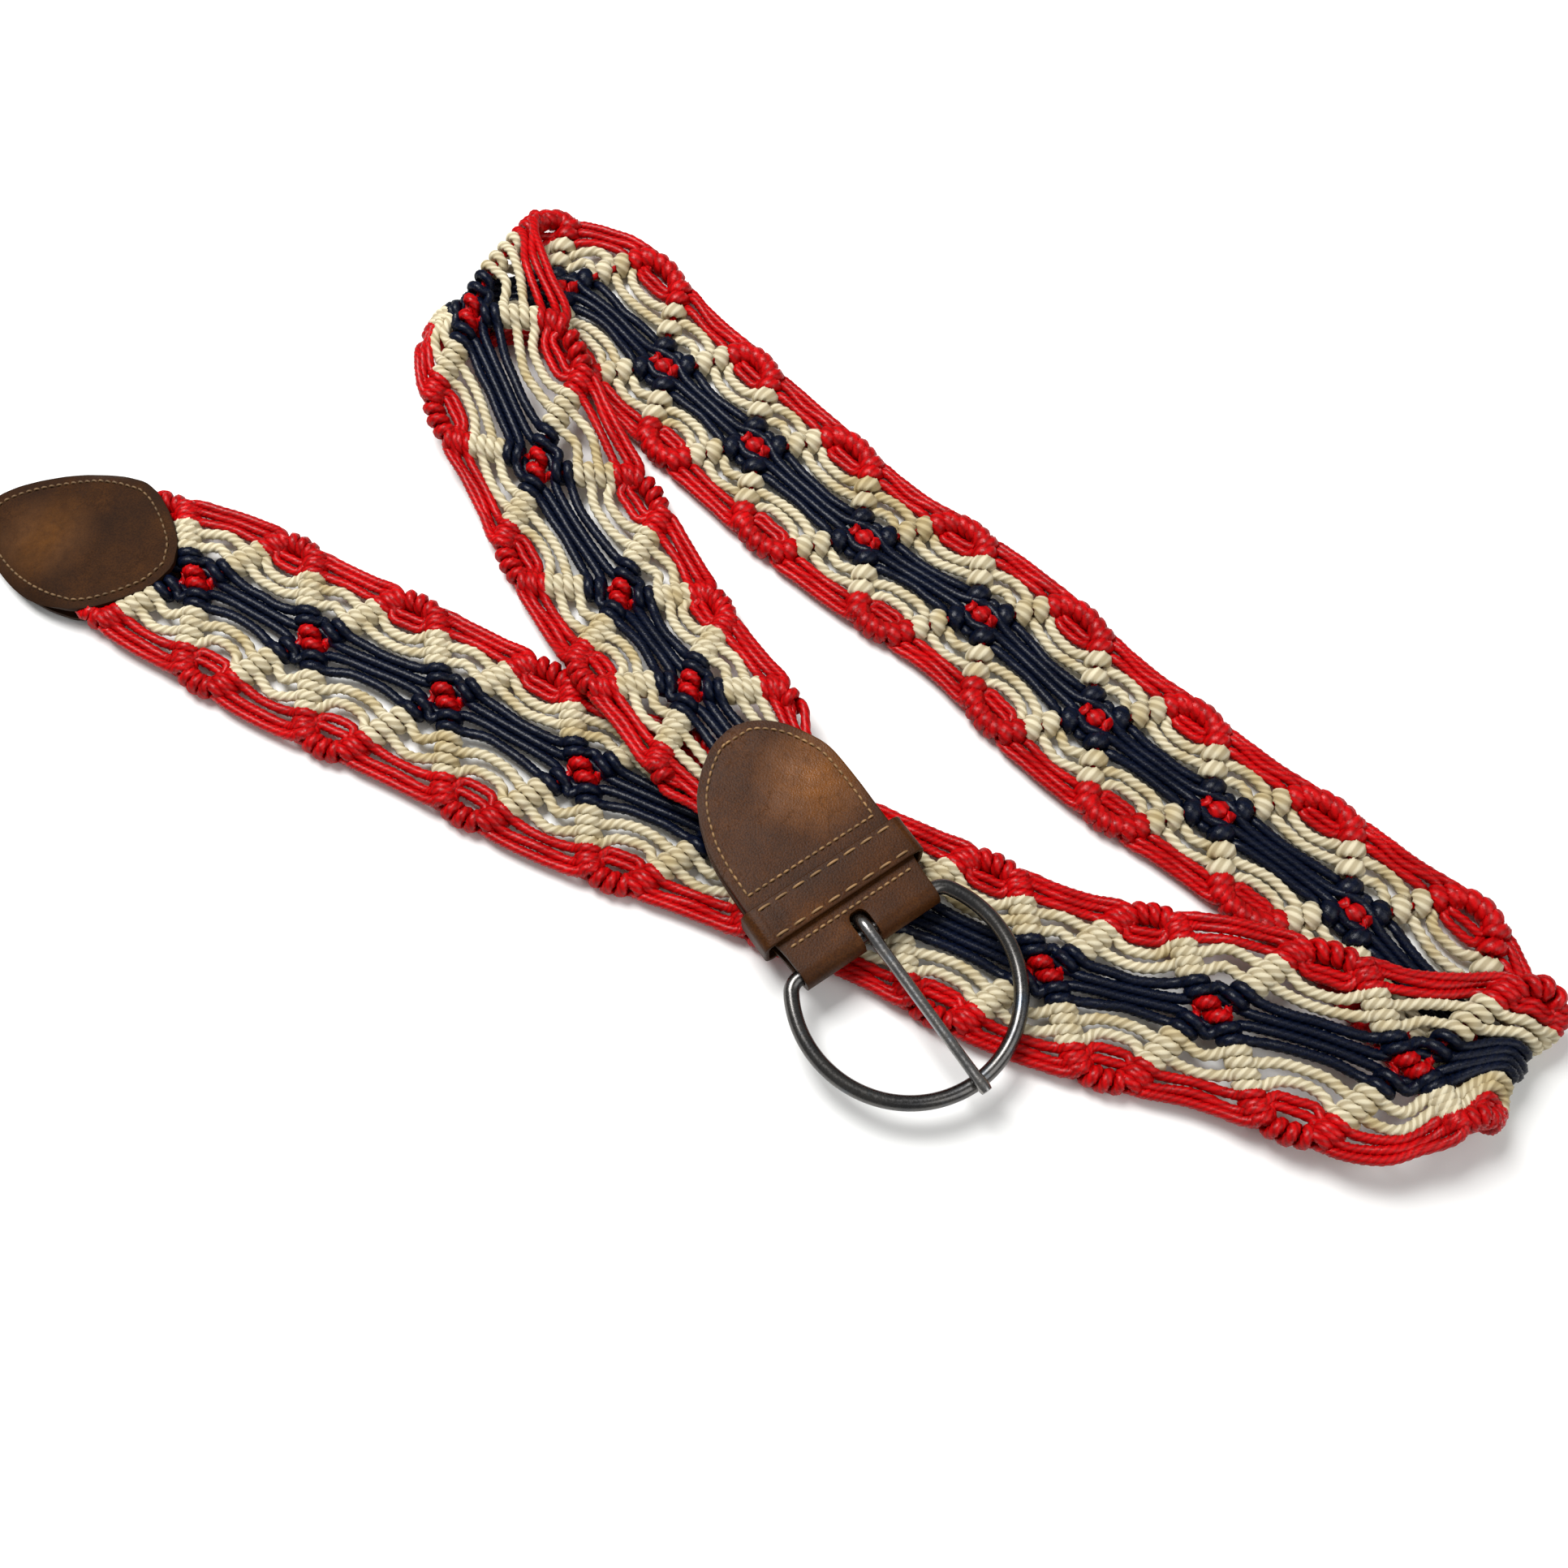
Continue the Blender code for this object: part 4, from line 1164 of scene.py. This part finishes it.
class BELT_OT_stage(bpy.types.Operator):
    """Lay the pale floor, set the soft lights and place the camera"""
    bl_idname = "belt.stage"
    bl_label = "Stage"

    def execute(self, context):
        scene = context.scene
        data = bpy.data.meshes.new("floor")
        corners = ((-1, -1), (1, -1), (1, 1), (-1, 1))
        data.from_pydata([(x * FLOOR_REACH, y * FLOOR_REACH, FLOOR_LEVEL) for x, y in corners],
                         [], [(0, 1, 2, 3)])
        floor = bpy.data.objects.new("floor", data)
        scene.collection.objects.link(floor)
        data.materials.append(plain_paper("pale_paper", colours().floor))
        world = bpy.data.worlds.new("studio")
        world.use_nodes = True
        background = world.node_tree.nodes["Background"].inputs
        background["Color"].default_value = (1.0, 1.0, 1.0, 1.0)
        background["Strength"].default_value = WORLD_LIGHT
        scene.world = world
        scene.view_settings.view_transform = "Standard"
        for name, place, size, power in LIGHTS:
            light = bpy.data.lights.new(name, "AREA")
            light.size = size
            light.energy = power
            lamp = bpy.data.objects.new(name, light)
            lamp.location = place
            aim = LIGHT_TARGET - Vector(place)
            lamp.rotation_euler = aim.to_track_quat("-Z", "Y").to_euler()
            scene.collection.objects.link(lamp)
        lens = bpy.data.cameras.new("photo_camera")
        lens.sensor_width = SENSOR_WIDTH
        lens.sensor_fit = "HORIZONTAL"
        lens.lens = FOCAL_LENGTH
        lens.clip_start = 0.01
        camera = bpy.data.objects.new("photo_camera", lens)
        camera.location = CAMERA_PLACE
        camera.rotation_euler = (CAMERA_TILT, 0.0, 0.0)
        scene.collection.objects.link(camera)
        scene.camera = camera
        return {"FINISHED"}


class BELT_OT_navy_cords(bpy.types.Operator):
    """Knot the four navy cords down the middle of the band"""
    bl_idname = "belt.navy_cords"
    bl_label = "Navy cords"

    def execute(self, context):
        size = sizes()
        runs = []
        for side in (1, -1):
            runs.append(side_cord("navy_outer", side, 1.08 * size.cord, 10 + side))
            runs.append(hidden_cord("navy_inner", side, 1.08 * size.cord))
        knotted_cords("navy_cords", runs, 8, 4, 0.05, 0.6 * MM, 1.2 * size.lay,
                      waxed_cotton_cord("waxed_navy_cotton_cord", colours().navy),
                      "navy_cord", "navy_centre")
        return {"FINISHED"}


class BELT_OT_cream_cords(bpy.types.Operator):
    """Knot two cream cords on each side"""
    bl_idname = "belt.cream_cords"
    bl_label = "Cream cords"

    def execute(self, context):
        size = sizes()
        material = natural_cotton_cord("natural_cotton_cord", colours().cream)
        for side, word in ((1, "left"), (-1, "right")):
            runs = [
                side_cord("cream_inner", side, size.cream_cord, 20 + side),
                side_cord("cream_outer", side, size.cream_cord, 30 + side),
            ]
            knotted_cords("cream_cords_" + word, runs, 9, 3, 0.11, 0.5 * MM, size.lay,
                          material, "cream_cord", "cream_band_" + word)
        return {"FINISHED"}


class BELT_OT_red_cords(bpy.types.Operator):
    """Knot the red edge cords and wind the outer one round each turn"""
    bl_idname = "belt.red_cords"
    bl_label = "Red cords"

    def execute(self, context):
        size = sizes()
        material = waxed_cotton_cord("waxed_red_cotton_cord", colours().red)
        for side, word in ((1, "left"), (-1, "right")):
            runs = [
                side_cord("red_inner", side, size.cord, 40 + side),
                side_cord("red_middle", side, size.cord, 60 + side),
                edge_cord(side, size.cord, 50 + side),
            ]
            knotted_cords("red_cords_" + word, runs, 8, 4, 0.05, 0.7 * MM, 1.2 * size.lay,
                          material, "red_cord", "red_edge_" + word)
        return {"FINISHED"}


class BELT_OT_leader_cords(bpy.types.Operator):
    """Run the two red leader cords from edge to edge"""
    bl_idname = "belt.leader_cords"
    bl_label = "Leader cords"

    def execute(self, context):
        size = sizes()
        runs = [leader_cord(side, size.leader) for side in (1, -1)]
        knotted_cords("leader_cords", runs, 8, 4, 0.07, 0.8 * MM, 1.2 * size.lay,
                      bpy.data.materials["waxed_red_cotton_cord"], "red_cord")
        return {"FINISHED"}


class BELT_OT_tip(bpy.types.Operator):
    """Cut the two leather sheets of the tip and sew them"""
    bl_idname = "belt.tip"
    bl_label = "Tip"

    def execute(self, context):
        size = sizes()
        material = tanned_leather("nubuck_tip_leather", colours().tip, 1.1 * MM, 0.66, 0.6,
                                  TIP_POLISH_AND_SHEEN_AT)
        back = add_piece("tip_sheet_back", tip_sheet("tip_sheet_back", 0.0, False), material,
                         "strap", "tip_leather", "tip_back")
        thicken(back, size.leather, 1.0, 0.4 * MM)
        front = add_piece("tip_sheet_front",
                          tip_sheet("tip_sheet_front", size.leather + CLEAR, True), material,
                          "strap", "tip_leather", "tip_front")
        thicken(front, size.leather, 1.0, 0.4 * MM)
        thread = sewing_thread("dark_linen_thread", rgba(colours().thread, 0.55)[:3])
        add_piece("tip_stitching", joined_tubes("tip_stitching", tip_stitches()), thread,
                  "strap", "tip_leather")
        return {"FINISHED"}


class BELT_OT_tab(bpy.types.Operator):
    """Fold the buckle tab round the ring's bar and sew it"""
    bl_idname = "belt.tab"
    bl_label = "Buckle tab"

    def execute(self, context):
        size = sizes()
        material = tanned_leather("bridle_tab_leather", colours().tab, 0.9 * MM, 0.38, 0.6,
                                  TAB_POLISH_AND_SHEEN_AT)
        tab = add_piece("tab_sheet", tab_sheet(), material, "strap", "tab_leather", "buckle_tab")
        thicken(tab, size.leather, 0.0, 0.4 * MM)
        thread = sewing_thread("tan_linen_thread", colours().thread)
        add_piece("tab_stitching", joined_tubes("tab_stitching", tab_stitches()), thread,
                  "strap", "tab_leather")
        return {"FINISHED"}


class BELT_OT_keeper(bpy.types.Operator):
    """Wrap the keeper loop round the tab and sew it"""
    bl_idname = "belt.keeper"
    bl_label = "Keeper"

    def execute(self, context):
        keeper = add_piece("keeper_sheet", keeper_sheet(),
                           bpy.data.materials["bridle_tab_leather"], "strap", "tab_leather",
                           "keeper_loop")
        thicken(keeper, KEEPER_THICK, 0.0, 0.35 * MM)
        add_piece("keeper_stitching", joined_tubes("keeper_stitching", keeper_stitches()),
                  bpy.data.materials["tan_linen_thread"], "strap", "tab_leather")
        return {"FINISHED"}


class BELT_OT_buckle(bpy.types.Operator):
    """Bend the ring and the prong from plated wire"""
    bl_idname = "belt.buckle"
    bl_label = "Ring and prong"

    def execute(self, context):
        size = sizes()
        plating = gunmetal_plated_steel("gunmetal_plated_steel", colours().metal, 1.0)
        # The prong's plating is drawn 2.6 times lighter as a painted highlight
        painted_sheen = gunmetal_plated_steel("painted_sheen_gunmetal_steel", colours().metal, 2.6)
        matrix = buckle_frame() @ Matrix.Rotation(RING_DROOP, 4, "Y")
        line = ring_line()
        flat = np.column_stack([line, np.zeros(len(line))])
        ring = wire_curve("ring_wire", to_world(flat, matrix), np.ones(len(flat)), size.wire, True)
        add_piece("ring_wire", ring, plating, "ring", "gunmetal", "buckle_ring")
        points, radii = prong_line()
        prong = wire_curve("prong_wire", to_world(points, matrix), radii, size.prong, False)
        add_piece("prong_wire", prong, painted_sheen, "tongue", "gunmetal", "prong")
        return {"FINISHED"}


class BELT_PT_panel(bpy.types.Panel):
    """Buttons for every piece of the belt"""
    bl_idname = "BELT_PT_panel"
    bl_label = "Macrame Belt"
    bl_space_type = "VIEW_3D"
    bl_region_type = "UI"
    bl_category = "Belt"

    def draw(self, context):
        for group in (context.scene.belt_sizes, context.scene.belt_colours):
            for key in group.__annotations__:
                self.layout.prop(group, key)
        for item in OPERATORS:
            self.layout.operator(item.bl_idname)


OPERATORS = (
    BELT_OT_stage,
    BELT_OT_navy_cords,
    BELT_OT_cream_cords,
    BELT_OT_red_cords,
    BELT_OT_leader_cords,
    BELT_OT_tip,
    BELT_OT_tab,
    BELT_OT_keeper,
    BELT_OT_buckle,
)
CLASSES = (BeltSizes, BeltColours, *OPERATORS, BELT_PT_panel)


def register():
    for item in CLASSES:
        bpy.utils.register_class(item)
    bpy.types.Scene.belt_sizes = bpy.props.PointerProperty(type=BeltSizes)
    bpy.types.Scene.belt_colours = bpy.props.PointerProperty(type=BeltColours)


def unregister():
    del bpy.types.Scene.belt_colours
    del bpy.types.Scene.belt_sizes
    for item in reversed(CLASSES):
        bpy.utils.unregister_class(item)


def main():
    register()
    bpy.ops.belt.stage()
    bpy.ops.belt.navy_cords()
    bpy.ops.belt.cream_cords()
    bpy.ops.belt.red_cords()
    bpy.ops.belt.leader_cords()
    bpy.ops.belt.tip()
    bpy.ops.belt.tab()
    bpy.ops.belt.keeper()
    bpy.ops.belt.buckle()


if __name__ == "__main__":
    main()
